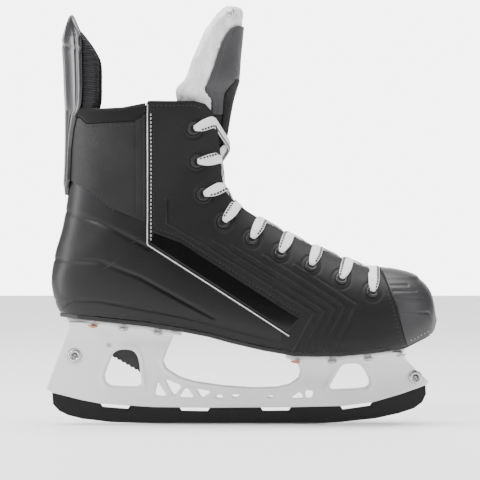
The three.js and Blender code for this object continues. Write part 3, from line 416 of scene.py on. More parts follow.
def piece(name, points, faces, paint, body=ROOT, smooth=True):
    """A named piece made of points in millimetres, riding on a body."""
    mesh = bpy.data.meshes.new(name)
    verts = [tuple(float(c) * MM for c in p) for p in points]
    mesh.from_pydata(verts, [], [tuple(int(i) for i in f) for f in faces])
    mesh.validate()
    mesh.materials.append(paint)
    if smooth:
        mesh.shade_smooth()
    made = bpy.data.objects.new(name, mesh)
    bpy.context.scene.collection.objects.link(made)
    if body:
        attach(made, body)
    return made


def grid_faces(rows, columns, closed=False, flip=False):
    """Quads over a grid of points; closed joins the last column to the first."""
    wide = columns if closed else columns - 1
    i, j = np.meshgrid(np.arange(rows - 1), np.arange(wide), indexing="ij")
    a = i * columns + j
    b = i * columns + (j + 1) % columns
    quads = np.stack([a, b, b + columns, a + columns], axis=-1).reshape(-1, 4)
    return quads[:, ::-1] if flip else quads


def rim_loop(rows, columns):
    """The outermost points of a grid, once round."""
    loop = list(range(columns)) + [i * columns + columns - 1 for i in range(1, rows)]
    loop += [(rows - 1) * columns + j for j in range(columns - 2, -1, -1)]
    return loop + [i * columns for i in range(rows - 2, 0, -1)]


def bell(value, middle, width):
    """1 at the middle, falling smoothly to 0."""
    return np.exp(-(((value - middle) / width) ** 2))


def two_skins(outer, inner):
    """Points and faces of a closed sheet, from the grids of its two sides."""
    rows, columns = outer.shape[:2]
    count = rows * columns
    faces = [tuple(f) for f in grid_faces(rows, columns, flip=True)]
    faces += [tuple(f + count) for f in grid_faces(rows, columns)]
    loop = rim_loop(rows, columns)
    faces += [(a, b, b + count, a + count) for a, b in zip(loop, loop[1:] + loop[:1])]
    return np.concatenate([outer.reshape(-1, 3), inner.reshape(-1, 3)]), faces


def settle(points, size):
    """A polyline's points again, spaced evenly along it."""
    points = np.asarray(points, float)
    steps = np.linalg.norm(np.diff(points, axis=0), axis=1)
    run = np.concatenate([[0], np.cumsum(steps)])
    places = np.linspace(0, run[-1], size)
    return np.stack([np.interp(places, run, points[:, k]) for k in range(points.shape[1])], 1)


def unit(vectors):
    return vectors / np.maximum(np.linalg.norm(vectors, axis=-1, keepdims=True), 1e-9)


def spline(rows, t):
    """A smooth curve through rows, with t from 0 to 1."""
    rows = np.asarray(rows, float)
    last = len(rows) - 1
    p = np.clip(np.asarray(t, float), 0, 1) * last
    i = np.minimum(np.floor(p).astype(int), last - 1)
    w = (p - i)[..., None]
    before, here = rows[np.maximum(i - 1, 0)], rows[i]
    there, after = rows[np.minimum(i + 1, last)], rows[np.minimum(i + 2, last)]
    pull, push = (there - before) / 2, (after - here) / 2
    cubic = (2 * here - 2 * there + pull + push) * w**3
    square = (-3 * here + 3 * there - 2 * pull - push) * w**2
    return cubic + square + pull * w + here


def away(points, line):
    """Distance in the side view from each point to a polyline."""
    best = np.full(points.shape[:-1], 1e9)
    line = np.asarray(line, float)
    for start, end in zip(line[:-1], line[1:]):
        run = end - start
        part = np.clip(((points - start) @ run) / max(run @ run, 1e-9), 0, 1)
        best = np.minimum(best, np.linalg.norm(points - start - part[..., None] * run, axis=-1))
    return best


def ridge(points, line, height, width):
    return height * bell(away(points, line), 0, width)


# ---------------------------------------------------------------- the boot's surface

# heel end (x, z), instep end (x, z), half width, sideways shift, widest place,
# squareness of the lower half, half the throat
STATIONS = np.array([
    [153, 79, 153, 86, 9, 4, 0.5, 2.2, 0],
    [148.5, 65.5, 149, 105, 27, 4, 0.48, 2.3, 0],
    [139, 61, 138, 116.5, 38, 3, 0.42, 2.5, 0],
    [122, 56, 122, 121.5, 45.5, 1, 0.38, 3.2, 0],
    [101, 52, 101, 124, 49, 0, 0.36, 3.6, 15],
    [76, 50, 78, 132, 49.4, 0, 0.35, 3.8, 18],
    [45, 50, 52, 143.5, 47.5, 0, 0.35, 3.8, 20],
    [12, 55, 24, 157.5, 43, 0, 0.36, 3.8, 21.5],
    [-24, 64, 1.4, 171.4, 39.5, 0, 0.38, 3.8, 23],
    [-70, 72, -10, 183, 37.5, 0, 0.42, 3.8, 25],
    [-112, 77, -13.8, 196, 37, 0, 0.46, 3.6, 26],
    [-139, 85, -15, 207, 36.5, 0, 0.5, 3, 27],
    [-148.6, 108, -16, 215.5, 36.5, 0, 0.52, 2.4, 28],
    [-146.5, 132, -17.5, 223.5, 37, 0, 0.53, 2, 29],
    [-140, 156, -19, 231, 38, 0, 0.54, 2, 30],
    [-135.5, 185, -21.5, 239, 40, 0, 0.54, 2, 31],
    [-134, 218, -25, 247, 42, 0, 0.54, 2, 32],
    [-134, 258, -30, 259, 43.5, 0, 0.54, 2, 32],
])
SOLE = np.array([
    [-165, 86.5], [-137, 84.1], [-112, 81.8], [-74, 77.8], [-49, 73.9], [-24, 69.1], [-7, 64.4],
    [17, 58.9], [41, 54.8], [60, 54.4], [78, 54.6], [107, 57.3], [129, 60], [142, 66], [165, 76],
])
# How far each layer stands out from the shell, and how deep the lining lies.
FACING_OUT = 1.7
ANKLE_OUT = 1.7
PANEL_OUT = 2.05
PIPING_OUT = 1.5
CAP_OUT = FACING_OUT + 0.2
LINING_DEPTH = 6.2
WELT = 3.3
INSTEP_SQUARE = 2.5


def sole_height(x):
    return np.interp(x, SOLE[:, 0], SOLE[:, 1])


class Boot:
    """The outer surface of the upper. t runs from toe to collar, and q from the
    sole or heel line, at 0, to the top of the section, at 1."""

    rows, columns = 361, 241

    def __init__(self):
        t = np.linspace(0, 1, self.rows)
        heel, edge, half, shift, widest, square, throat = self.section(t)
        flat = (throat / half) ** (INSTEP_SQUARE / 2)
        rise = (1 - flat**2) ** (1 / INSTEP_SQUARE)
        reach = widest + (1 - widest) * rise
        crest = heel + (edge - heel) / reach[:, None]
        self.heel, self.crest = heel, crest
        angle = np.linspace(-math.pi / 2, math.pi / 2, 1201)[None, :]
        power = 2 / np.where(angle < 0, square[:, None], INSTEP_SQUARE)
        span = np.where(angle < 0, widest[:, None], 1 - widest[:, None])
        along = widest[:, None] + span * np.sign(angle) * np.abs(np.sin(angle)) ** power
        out = half[:, None] * np.abs(np.cos(angle)) ** power
        flatwise = heel[:, None] + (crest - heel)[:, None] * along[..., None]
        solid = np.concatenate([flatwise, out[..., None]], axis=-1)
        steps = np.linalg.norm(np.diff(solid, axis=1), axis=-1)
        run = np.concatenate([np.zeros((self.rows, 1)), np.cumsum(steps, axis=1)], axis=1)
        run /= run[:, -1:]
        q = np.linspace(0, 1, self.columns)
        self.along = np.stack([np.interp(q, r, a) for r, a in zip(run, along)])
        out = np.stack([np.interp(q, r, o) for r, o in zip(run, out)])
        self.flatwise = heel[:, None] + (crest - heel)[:, None] * self.along[..., None]
        self.grids, self.normals = {}, {}
        for hand in HANDS.values():
            y = shift[:, None] + hand * out
            grid = np.stack([self.flatwise[..., 0], y, self.flatwise[..., 1]], axis=-1)
            along_t = np.gradient(grid, axis=0)
            along_q = np.gradient(grid, axis=1)
            normal = unit(np.cross(along_q, along_t) * hand)
            if normal[self.rows // 2, self.columns // 2, 1] * hand < 0:
                normal = -normal
            for end in (0, -1):
                normal[:, end, 1] = 0
            self.grids[hand], self.normals[hand] = grid, unit(normal)
        self.edge_q = np.array([np.interp(a, row, q) for a, row in zip(reach, self.along)])
        above = self.flatwise[..., 1] - sole_height(self.flatwise[..., 0]) - WELT
        self.low_q = np.array([0 if row[0] > 0 else q[np.argmax(row > 0)] for row in above])

    def section(self, t):
        heel = spline(STATIONS[:, 0:2], t)
        edge = spline(STATIONS[:, 2:4], t)
        edge = edge - FACING_OUT * unit(edge - heel)
        half, shift, widest, square, throat = spline(STATIONS[:, 4:9], t).T
        return heel, edge, half, shift, widest, square, np.maximum(throat, 0)

    def read(self, table, t, q):
        """A value of a table at places between its rows and columns."""
        a = np.clip(t, 0, 1) * (self.rows - 1)
        b = np.clip(q, 0, 1) * (self.columns - 1)
        i = np.minimum(a.astype(int), self.rows - 2)
        j = np.minimum(b.astype(int), self.columns - 2)
        u, v = (a - i)[..., None], (b - j)[..., None]
        low = table[i, j] * (1 - v) + table[i, j + 1] * v
        high = table[i + 1, j] * (1 - v) + table[i + 1, j + 1] * v
        return low * (1 - u) + high * u

    def at(self, tq, hand):
        tq = np.asarray(tq, float)
        return self.read(self.grids[hand], tq[..., 0], tq[..., 1])

    def normal(self, tq, hand):
        tq = np.asarray(tq, float)
        return unit(self.read(self.normals[hand], tq[..., 0], tq[..., 1]))

    def find(self, places):
        """(t, q) of places given in the side view."""
        places = np.atleast_2d(np.asarray(places, float))
        found = []
        spans = self.crest - self.heel
        for place in places:
            away_from = place - self.heel
            turn = spans[:, 0] * away_from[:, 1] - spans[:, 1] * away_from[:, 0]
            flips = np.nonzero((turn[:-1] > 0) & (turn[1:] <= 0))[0]
            i = flips[-1] if len(flips) else (0 if turn[0] <= 0 else self.rows - 2)
            part = turn[i] / (turn[i] - turn[i + 1]) if len(flips) else 0.0
            heel = self.heel[i] * (1 - part) + self.heel[i + 1] * part
            crest = self.crest[i] * (1 - part) + self.crest[i + 1] * part
            run = crest - heel
            share = float((place - heel) @ run / (run @ run))
            row = self.along[i] * (1 - part) + self.along[i + 1] * part
            q = np.interp(share, row, np.linspace(0, 1, self.columns))
            found.append(((i + part) / (self.rows - 1), q))
        return np.array(found)

    def line(self, places, size):
        """(t, q) along a side-view polyline, evenly spaced."""
        return self.find(settle(places, size))

    def low(self, t):
        return np.interp(t, np.linspace(0, 1, self.rows), self.low_q)

    def edge(self, t):
        return np.interp(t, np.linspace(0, 1, self.rows), self.edge_q)


boot = Boot()


def coons(bottom, top, left, right):
    """A sheet of (t, q) spanning four edge lines that share their corners."""
    u = np.linspace(0, 1, len(bottom))[None, :, None]
    v = np.linspace(0, 1, len(left))[:, None, None]
    ruled = (1 - v) * bottom[None] + v * top[None] + (1 - u) * left[:, None] + u * right[:, None]
    corners = (1 - u) * (1 - v) * bottom[0] + u * (1 - v) * bottom[-1]
    corners = corners + (1 - u) * v * top[0] + u * v * top[-1]
    return ruled - corners


EDGE_TUCK = 0.3
SKIRT_DEPTH = 0.6


def upper_layer(name, sheet, hand, lift, paint, relief=None):
    """A layer of the upper over a sheet of (t, q), with its edges turned down."""
    rows, columns = sheet.shape[:2]
    base = boot.at(sheet, hand)
    normal = boot.normal(sheet, hand)
    height = np.full((rows, columns), float(lift))
    if relief:
        height += relief(base[..., [0, 2]])
    height[[0, -1], :] -= EDGE_TUCK
    height[:, [0, -1]] -= EDGE_TUCK
    points = (base + normal * height[..., None]).reshape(-1, 3)
    faces = grid_faces(rows, columns)
    first = points[faces[len(faces) // 2]]
    facing = np.cross(first[1] - first[0], first[2] - first[1])
    flip = facing @ normal.reshape(-1, 3)[faces[len(faces) // 2][0]] < 0
    if flip:
        faces = faces[:, ::-1]
    loop = rim_loop(rows, columns)
    sunk = (base - normal * SKIRT_DEPTH).reshape(-1, 3)[loop]
    skirt = []
    for k, (a, b) in enumerate(zip(loop, loop[1:] + loop[:1])):
        under, next_under = len(points) + k, len(points) + (k + 1) % len(loop)
        quad = (a, under, next_under, b)
        skirt.append(quad[::-1] if flip else quad)
    faces = [tuple(f) for f in faces] + skirt
    return piece(name, np.concatenate([points, sunk]), faces, paint)


def along_path(path, outward):
    """At each point of a path, the direction it faces and the one across it."""
    ahead = unit(np.gradient(path, axis=0))
    up = unit(outward - (outward * ahead).sum(1, keepdims=True) * ahead)
    return up, np.cross(ahead, up)


def swept(name, path, outward, half_width, half_height, paint, sides=10):
    """A band or cord along a path, with its flat side looking outward."""
    up, across = along_path(path, outward)
    half_width = np.broadcast_to(half_width, len(path))[:, None, None]
    half_height = np.broadcast_to(half_height, len(path))[:, None, None]
    angle = 2 * math.pi * np.arange(sides) / sides
    flat = (np.sign(np.cos(angle)) * np.abs(np.cos(angle)) ** 0.7)[None, :, None]
    tall = np.sin(angle)[None, :, None]
    rings = path[:, None] + across[:, None] * flat * half_width + up[:, None] * tall * half_height
    points = np.concatenate([rings.reshape(-1, 3), path[[0, -1]]])
    faces = [tuple(f) for f in grid_faces(len(path), sides, closed=True)]
    first, last = len(points) - 2, len(points) - 1
    end_ring = first - sides
    for k in range(sides):
        n = (k + 1) % sides
        faces.append((first, n, k))
        faces.append((last, end_ring + k, end_ring + n))
    return piece(name, points, faces, paint)


def spun(name, profile, seat, axis, paint, segments=36):
    """A turned piece: (radius, height) pairs about an axis through its seat."""
    axis = unit(np.asarray(axis, float))
    helper = np.array([1.0, 0, 0]) if abs(axis[0]) < 0.8 else np.array([0, 1.0, 0])
    first = unit(np.cross(axis, helper))
    second = np.cross(axis, first)
    turn = 2 * math.pi * np.arange(segments) / segments
    round_ = np.cos(turn)[:, None] * first + np.sin(turn)[:, None] * second
    profile = np.asarray(profile, float)
    rings = seat + profile[:, None, 1:] * axis + profile[:, None, :1] * round_[None]
    closed = bool(profile[0, 0] > 0 and profile[-1, 0] > 0)
    rows = np.concatenate([rings, rings[:1]]) if closed else rings
    faces = grid_faces(len(rows), segments, closed=True)
    if closed:
        faces = faces % (len(rings) * segments)
    return piece(name, rings.reshape(-1, 3), faces, paint)


def stitches(name, lines, lift, paint, length, gap, width=0.42, height=0.34):
    """Rows of thread stitches over the upper, each a small spindle."""
    points, faces = [], []
    shape = [(-0.5, 0.25), (-0.3, 0.9), (0.3, 0.9), (0.5, 0.25)]
    sides = 6
    for hand in HANDS.values():
        for line in lines:
            line = np.asarray(line, float)
            run = np.linalg.norm(np.diff(line, axis=0), axis=1).sum()
            count = max(int(run / (length + gap)), 2)
            tq = boot.line(line, 2 * count + 1)
            at = boot.at(tq, hand)
            normal = boot.normal(tq, hand)
            for k in range(count):
                here, along = at[2 * k + 1], unit(at[2 * k + 2] - at[2 * k])
                out = normal[2 * k + 1]
                across = np.cross(out, along)
                start = len(points)
                for place, swell in shape:
                    for j in range(sides):
                        angle = 2 * math.pi * j / sides
                        at_ring = here + out * lift + along * place * length
                        at_ring = at_ring + across * math.cos(angle) * width * swell
                        points.append(at_ring + out * math.sin(angle) * height * swell)
                rings = grid_faces(len(shape), sides, closed=True) + start
                faces += [tuple(f) for f in rings]
                faces.append(tuple(start + j for j in reversed(range(sides))))
                last = start + (len(shape) - 1) * sides
                faces.append(tuple(last + j for j in range(sides)))
    return piece(name, points, faces, paint)


# ---------------------------------------------------------------- the upper

PIPING_CORNER, PIPING_TOE = (-71.6, 141.5), (39, 71)
TOE_SEAM = [(129, 63.4), (126.6, 70.7), (121.4, 91.5), (114.8, 108.6), (110.9, 117.7), (107, 126)]
FACING_TOE = (107, 121)
COLLAR_TOP = [(-140, 248), (-124.7, 246.6), (-110, 244.9), (-91, 245.6), (-73.4, 248.9)]
FACING_TOP = [(-71.6, 253.2), (-36, 253.2), (-28, 251), (-22.8, 245)]
COLLAR_SEAM = [(-140, 243.4), (-123.6, 240.4), (-119, 235.6), (-82, 237.3), (-75.8, 241.2),
               (-73.4, 244.5)]
ANKLE_SEAM = [(-140, 192), (-131, 191.2), (-120.4, 185.3), (-99.5, 169.7), (-73.4, 158.7)]
PANEL = {"low": [(-70.6, 142.5), (38.2, 72.4)], "high": [(-66.5, 151), (-48, 144), (46.4, 83.7)]}
CHEVRONS = [
    [(42.4, 124.4), (90.1, 94.1), (71.2, 58.9)],
    [(18.2, 132.3), (81.7, 92.8), (63.3, 58.1)],
    [(-5.5, 139.4), (73.9, 91.5), (55.8, 57.3)],
    [(-21.3, 144.2), (66, 89.9), (48.3, 56.5)],
    [(-57.4, 176.6), (-57, 158.5), (58.1, 88.2), (40.4, 56.1)],
]
EYELETS = [(102.5, 103.9), (78.7, 113.8), (55.2, 124.3), (31.6, 134.3), (9.2, 145.4),
           (-13, 158.7), (-29, 180.4), (-34, 206.3), (-36.8, 231.9)]
SHELL_BANDS = [
    [(-146, 170), (-135.8, 167), (-110.5, 159.2), (-71, 138.6)],
    [(-150, 130), (-110, 128), (-78, 116), (-20, 84)],
    [(-150, 97.6), (-110.5, 97.6), (-47.3, 85.7), (39.6, 63.6)],
]
TOE_RECESSES = [
    [(117, 108.6), (130.4, 108.6)], [(118.6, 104.4), (136.7, 104.4)], [(121, 98.6), (143, 98.6)],
    [(124.1, 88.9), (146.2, 88.1), (149.8, 81), (151, 71.9)],
]


def sole_run(start, end, count):
    return [(x, sole_height(x) + WELT + 0.2) for x in np.linspace(start, end, count)]


def end_line(places, size):
    """A side-view polyline as the t that goes with each q."""
    found = boot.line(places, size)
    order = np.argsort(found[:, 1])
    return found[order, 1], found[order, 0]


def section_sheet(start, rows, columns, end, crest):
    """(t, q) over whole sections, from the sole or heel line to their crest, as
    far as an end line. A few rounds settle t and q against each other."""
    w = np.linspace(start, 1, rows)[:, None]
    c = np.linspace(0, 1, columns)[None, :]
    q = np.repeat(c, rows, axis=0)
    for _ in range(4):
        t = w * np.interp(q, *end)
        low = boot.low(t)
        q = low + (crest(t) - low) * c
    return np.stack([t, q], axis=-1)


def body_sheet(start, rows, columns):
    """(t, q) over the upper, up to the throat and the collar."""
    top = end_line(COLLAR_TOP + FACING_TOP, 60)
    return section_sheet(start, rows, columns, top, boot.edge)


def both_sides(name, sheet, lift, paint, relief=None, flip=False):
    """One piece from a sheet on the lateral side and its mirror on the medial."""
    points, faces = [], []
    for hand in HANDS.values():
        base = boot.at(sheet, hand)
        height = np.full(sheet.shape[:2], float(lift))
        if relief:
            height += relief(base[..., [0, 2]])
        outer = base + boot.normal(sheet, hand) * height[..., None]
        start = sum(len(p) for p in points)
        points.append(outer.reshape(-1, 3))
        turned = (hand == LATERAL) == flip
        faces += [tuple(f + start) for f in grid_faces(*sheet.shape[:2], flip=turned)]
    return piece(name, np.concatenate(points), faces, paint)


def shell_relief(at):
    return sum(ridge(at, band, -0.7, 1.3) for band in SHELL_BANDS)


def quarter_shell(paint):
    made = both_sides("composite_quarter", body_sheet(0.0, 260, 150), 0, paint,
                      shell_relief)
    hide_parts("quarter_shell")


def boot_lining(paint):
    made = both_sides("boot_lining", body_sheet(0.12, 120, 70), -LINING_DEPTH, paint,
                      flip=True)
    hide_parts("liner")


def facing_sheet():
    t_top = boot.find(FACING_TOP[-1])[0, 0]
    t_toe = boot.find(FACING_TOE)[0, 0]
    count, tall = 380, 150
    low = [FACING_TOP[0], PIPING_CORNER, PIPING_TOE, *sole_run(34, 129, 14), TOE_SEAM[0]]
    bottom = boot.line(low, count)
    t = np.linspace(t_top, t_toe, count)
    top = np.stack([t, boot.edge(t)], axis=-1)
    left = boot.line(FACING_TOP, tall)
    right = boot.line([*TOE_SEAM[:-1], FACING_TOE], tall)
    left[0], left[-1] = bottom[0], top[0]
    right[0], right[-1] = bottom[-1], top[-1]
    return coons(bottom, top, left, right)


def facing_relief(at):
    height = sum(ridge(at, line, 1.5, 0.7) for line in CHEVRONS)
    height -= sum(ridge(at, np.array(line) + (1.7, 0.4), 0.5, 1.2) for line in CHEVRONS)
    for place in EYELETS:
        spread = np.linalg.norm(at - np.array(place), axis=-1)
        height -= 0.5 * bell(spread, 7.6, 0.8)
        height += 0.25 * bell(spread, 6.0, 1.0)
    height -= ridge(at, [(-67.3, 248), (-67.3, 151)], 0.35, 0.6)
    height -= ridge(at, [(-66, 154), (-47.5, 147), (48.5, 86)], 0.35, 0.7)
    return height


def side_panel(name, hand, paint):
    low, high = PANEL["low"], PANEL["high"]
    bottom, top = boot.line(low, 200), boot.line(high, 200)
    left, right = boot.line([low[0], high[0]], 24), boot.line([low[-1], high[-1]], 24)
    made = upper_layer(f"gloss_panel_{name}", coons(bottom, top, left, right), hand, PANEL_OUT,
                       paint)
    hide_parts(f"side_panel_{name}")


def heel_start(line, size):
    """(t, q) along a side-view line that starts on the heel line."""
    found = boot.line(line, size)
    found[0, 1] = 0
    return found


def rear_sheet(low, high, wide, tall):
    bottom, top = heel_start(low, wide), heel_start(high, wide)
    left = np.stack([np.linspace(bottom[0, 0], top[0, 0], tall), np.zeros(tall)], axis=-1)
    right = boot.line([low[-1], high[-1]], tall)
    right[0], right[-1] = bottom[-1], top[-1]
    return coons(bottom, top, left, right)


def ankle_relief(at):
    lines = [[(-81.3, 240), (-81.3, 166)], [(-75.9, 240), (-75.9, 164)]]
    return sum(ridge(at, line, -0.6, 0.7) for line in lines)


def ankle_pads(paint):
    sheet = rear_sheet(ANKLE_SEAM, COLLAR_SEAM, 150, 150)
    for name, hand in HANDS.items():
        made = upper_layer(f"ankle_wrap_{name}", sheet, hand, ANKLE_OUT, paint,
                           ankle_relief)
        if hand == LATERAL:
            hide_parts("ankle_wrap")


ROLL_RADIUS = 3.4


def collar_roll(paint):
    """A padded rim that swells out over the seam and rolls over into the boot."""
    columns, tall = 110, 26
    sheet = rear_sheet([(x, z + 0.4) for x, z in COLLAR_SEAM], COLLAR_TOP, columns, tall)
    points, faces = [], []
    v = np.linspace(0, 1, tall)[:, None]
    turns = np.linspace(0, math.pi, 14)[1:]
    drops = np.linspace(2, 14, 6)
    rows = tall + len(turns) + len(drops)
    for hand in HANDS.values():
        base, normal = boot.at(sheet, hand), boot.normal(sheet, hand)
        lift = 1.2 + 2.6 * np.sin(np.minimum(v * 1.15, 1) * math.pi / 2) ** 0.8
        rings = [base + normal * lift[..., None]]
        rise = unit(base[-1] - base[-4])
        top, out = rings[0][-1], normal[-1]
        middle = top - out * ROLL_RADIUS
        for angle in turns:
            ring = middle + ROLL_RADIUS * (math.cos(angle) * out + 0.8 * math.sin(angle) * rise)
            rings.append(ring[None])
        for drop in drops:
            rings.append((middle - out * ROLL_RADIUS - rise * drop)[None])
        start = sum(len(p) for p in points)
        points.append(np.concatenate(rings).reshape(-1, 3))
        turned = hand == MEDIAL
        faces += [tuple(f + start) for f in grid_faces(rows, columns, flip=turned)]
    made = piece("collar_padding", np.concatenate(points), faces, paint)
    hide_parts("collar_roll")


def toe_relief(at):
    height = sum(ridge(at, line, -0.75, 0.7) for line in TOE_RECESSES)
    plate = np.clip((at[..., 1] - 112) / 2.0, 0, 1) * np.clip((141 - at[..., 0]) / 2.0, 0, 1)
    return height + 0.9 * plate


def toe_cap(paint):
    rows, half = 110, 90
    sheet = section_sheet(0, rows, half, end_line(TOE_SEAM, 80), np.ones_like)
    lift = np.full((rows, half), CAP_OUT)
    lift[-1] -= 1.6
    lift[-2] -= 0.35
    sides = []
    for hand in HANDS.values():
        base = boot.at(sheet, hand)
        height = lift + toe_relief(base[..., [0, 2]])
        sides.append(base + boot.normal(sheet, hand) * height[..., None])
    whole = np.concatenate([sides[0], sides[1][:, -2::-1]], axis=1)
    columns = whole.shape[1]
    points = whole.reshape(-1, 3)
    nose = whole[0].mean(axis=0) + (1.0, 0, 0)
    faces = [tuple(f) for f in grid_faces(rows, columns)]
    faces += [(len(points), (j + 1) % columns, j) for j in range(columns)]
    made = piece("moulded_toe_cap", np.concatenate([points, nose[None]]), faces, paint)
    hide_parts("toe_cap")


def piping(name, hand, paint):
    line = [(-71.9, 250.5), (-72.1, PIPING_CORNER[1]), (-71, 140.6), (38.4, 70.6)]
    tq = boot.line(line, 300)
    path = boot.at(tq, hand) + boot.normal(tq, hand) * PIPING_OUT
    swept(f"silver_piping_{name}", path, boot.normal(tq, hand), 0.5, 0.9, paint)


def seam_threads(dark, bright):
    near_piping = [(-69.3, 244), (-69.3, 144)]
    stitches("bright_stitches", [near_piping], 1.75, bright, 1.9, 1.1, 0.5, 0.4)
    lines = [
        [(-67.3, 248), (-67.3, 151)],
        [(-66, 154), (-47.5, 147), (48.5, 86)],
        [(-68, 137.5), (38, 69.7)],
        [(x + 2.2, z - 2.0) for x, z in ANKLE_SEAM[1:-1]],
        [(x - 3.2, z) for x, z in TOE_SEAM[:-1]],
        [(-69, 249.5), (-37, 249.5), (-31, 247.5)],
    ]
    stitches("seam_stitches", lines, 1.75, dark, 1.9, 1.2, 0.4, 0.34)
    collar = [(x, z - 2.2) for x, z in COLLAR_SEAM[1:]]
    stitches("collar_stitches", [collar], 1.8, dark, 2.0, 1.0)
    toe_edge = [(x, sole_height(x) + WELT + 3.2) for x in np.linspace(131, 147, 8)]
    stitches("toe_edge_stitches", [toe_edge], 2.0, bright, 1.2, 1.4, 0.35, 0.3)


# ---------------------------------------------------------------- eyelets and lace

EYELET_PROFILE = [(2.7, -4.5), (2.7, 0.6), (3.1, 1.0), (3.9, 1.1), (4.6, 0.85), (5, 0.45),
                  (5.05, 0.1), (3.3, 0.0), (3.3, -4.5)]


# The lace's half width where it is flat and where an eyelet squeezes it.
LACE_HALF = 4.6
SQUEEZED_HALF = 2.2
# Which strand passes over the other: how far each crossing stands off the tongue.
CROSSING_LIFTS = {LATERAL: 5.6, MEDIAL: 3.4}
FIRST_ROW_ON_TONGUE = 4
TRACER_BOX = [(0, 1, 3, 2), (4, 6, 7, 5), (0, 4, 5, 1), (2, 3, 7, 6), (0, 2, 6, 4), (1, 5, 7, 3)]


def fit_eyelets(paint):
    for name, hand in HANDS.items():
        for number, place in enumerate(EYELETS, 1):
            tq = boot.find(place)
            seat = boot.at(tq, hand)[0] + boot.normal(tq, hand)[0] * (FACING_OUT + 0.1)
            made = spun(f"ringed_eyelet_{name}_{number}", EYELET_PROFILE, seat,
                        boot.normal(tq, hand)[0], paint)
            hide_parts(f"eyelet_{name}_{number}")


def lace_stop(row, hand):
    """Where the lace goes at one eyelet, and which way its flat side looks."""
    tq = boot.find(EYELETS[row])
    hole, out = boot.at(tq, hand)[0], boot.normal(tq, hand)[0]
    t = np.linspace(0, 1, boot.rows)
    edge = np.stack([t, boot.edge_q], axis=-1)
    rims = boot.at(edge, hand)
    at_rim = nearest(rims[:, [0, 2]], EYELETS[row])
    rim = rims[at_rim]
    flat_up = unit(boot.crest[at_rim] - boot.heel[at_rim])
    rise = np.array([flat_up[0], 0, flat_up[1]])
    outward = unit(out + rise)
    middle_tq = boot.find((hole + rim)[[0, 2]] / 2)
    middle, middle_out = boot.at(middle_tq, hand)[0], boot.normal(middle_tq, hand)[0]
    inwards = np.array([0, -hand, 0.0])
    back = unit(hole - rim)
    return {
        "sunk": (hole - out * 5, back, SQUEEZED_HALF),
        "mouth": (hole + out * 3.9 - back * 2.0, unit(out + back), 2.5),
        "lip": (hole + out * 4.7 - back * 4.2, out, 3.6),
        "shoulder": (middle + middle_out * 3.6, middle_out, 4.5),
        "over": (rim + outward * 3.0, outward, LACE_HALF),
        "under": (rim - rise * 5.0 + inwards * 2.5, rise, 4.4),
    }


TONGUE_FRONT = [(98, 116.5), (80, 123.5), (58, 130.5), (36, 141.5), (14, 153), (-5, 165),
                (-15, 181), (-18.5, 196), (-16, 211), (-11.5, 226), (-8.8, 240.2)]
TONGUE_TILT = [74, 68, 65, 63, 60, 50, 28, 10, 2, 0, 0]


def nearest(places, place):
    """Which of some side-view places is nearest to one."""
    return np.argmin(np.linalg.norm(np.asarray(places) - place, axis=1))


def over_tongue(place, lift):
    """A point above the tongue's front, and the way that the front looks there."""
    fronts = settle(TONGUE_FRONT, 200)
    x, z = fronts[nearest(fronts, place[[0, 2]])]
    tilt = math.radians(TONGUE_TILT[nearest(TONGUE_FRONT, (x, z))])
    look = np.array([math.cos(tilt), 0, math.sin(tilt)])
    return np.array([x, 0, z]) + look * lift, look


def lace_route():
    """Every point the lace passes, from one top eyelet down and up to the other."""
    halves = []
    for first_hand, lift in CROSSING_LIFTS.items():
        hand, stops = first_hand, []
        for row in range(len(EYELETS) - 1):
            leaving, arriving = lace_stop(row, hand), lace_stop(row + 1, -hand)
            stops += [leaving["sunk"], leaving["under"]]
            middle = (leaving["under"][0] + arriving["over"][0]) / 2
            top, look = over_tongue(middle, lift)
            if row < FIRST_ROW_ON_TONGUE:
                top = middle + look * (3 if lift == CROSSING_LIFTS[LATERAL] else 0.5)
            stops.append((top, look, LACE_HALF))
            stops += [arriving[key] for key in ("over", "shoulder", "lip", "mouth")]
            hand = -hand
        last = lace_stop(len(EYELETS) - 1, hand)
        stops += [last["sunk"], (last["sunk"][0] + (-4, 0, -16), last["sunk"][1], SQUEEZED_HALF)]
        halves.append(stops)
    left, right = lace_stop(0, LATERAL), lace_stop(0, MEDIAL)
    keys = ("mouth", "lip", "shoulder", "over")
    bar = [left[key] for key in keys] + [right[key] for key in reversed(keys)]
    return halves[0][::-1] + bar + halves[1]


def relaxed(values, rounds=12):
    for _ in range(rounds):
        inner = (values[:-2] + 2 * values[1:-1] + values[2:]) / 4
        values = np.concatenate([values[:1], inner, values[-1:]])
    return values


def lace_up(white, tracer):
    stops = lace_route()
    table = np.array([[*at, *out, width] for at, out, width in stops])
    steps = np.linalg.norm(np.diff(table[:, :3], axis=0), axis=1)
    run = np.concatenate([[0], np.cumsum(steps)])
    places = np.arange(0, run[-1], 0.9)
    dense = np.stack([np.interp(places, run, table[:, k]) for k in range(7)], axis=1)
    dense = relaxed(dense)
    path, outward, width = dense[:, :3], unit(dense[:, 3:6]), dense[:, 6]
    height = np.interp(width, [SQUEEZED_HALF, LACE_HALF], [1.5, 0.75])
    made = swept("flat_lace", path, outward, width, height, white, 14)
    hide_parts("lace")
    up, across = along_path(path, outward)
    points, faces = [], []
    for k in range(2, len(path) - 3, 3):
        if width[k] < 3.2:
            continue
        start = len(points)
        for j in (k, k + 2):
            for side, high in ((0.5, 1.0), (0.86, 0.72)):
                raised = up[j] * (height[j] * high + 0.16)
                points.append(path[j] + across[j] * width[j] * side + raised)
        for j in (k, k + 2):
            for side in (0.5, 0.86):
                points.append(path[j] + across[j] * width[j] * side)
        faces += [tuple(start + n for n in face) for face in TRACER_BOX]
    piece("lace_tracer", points, faces, tracer, smooth=False)


# ---------------------------------------------------------------- tongue and tendon guard

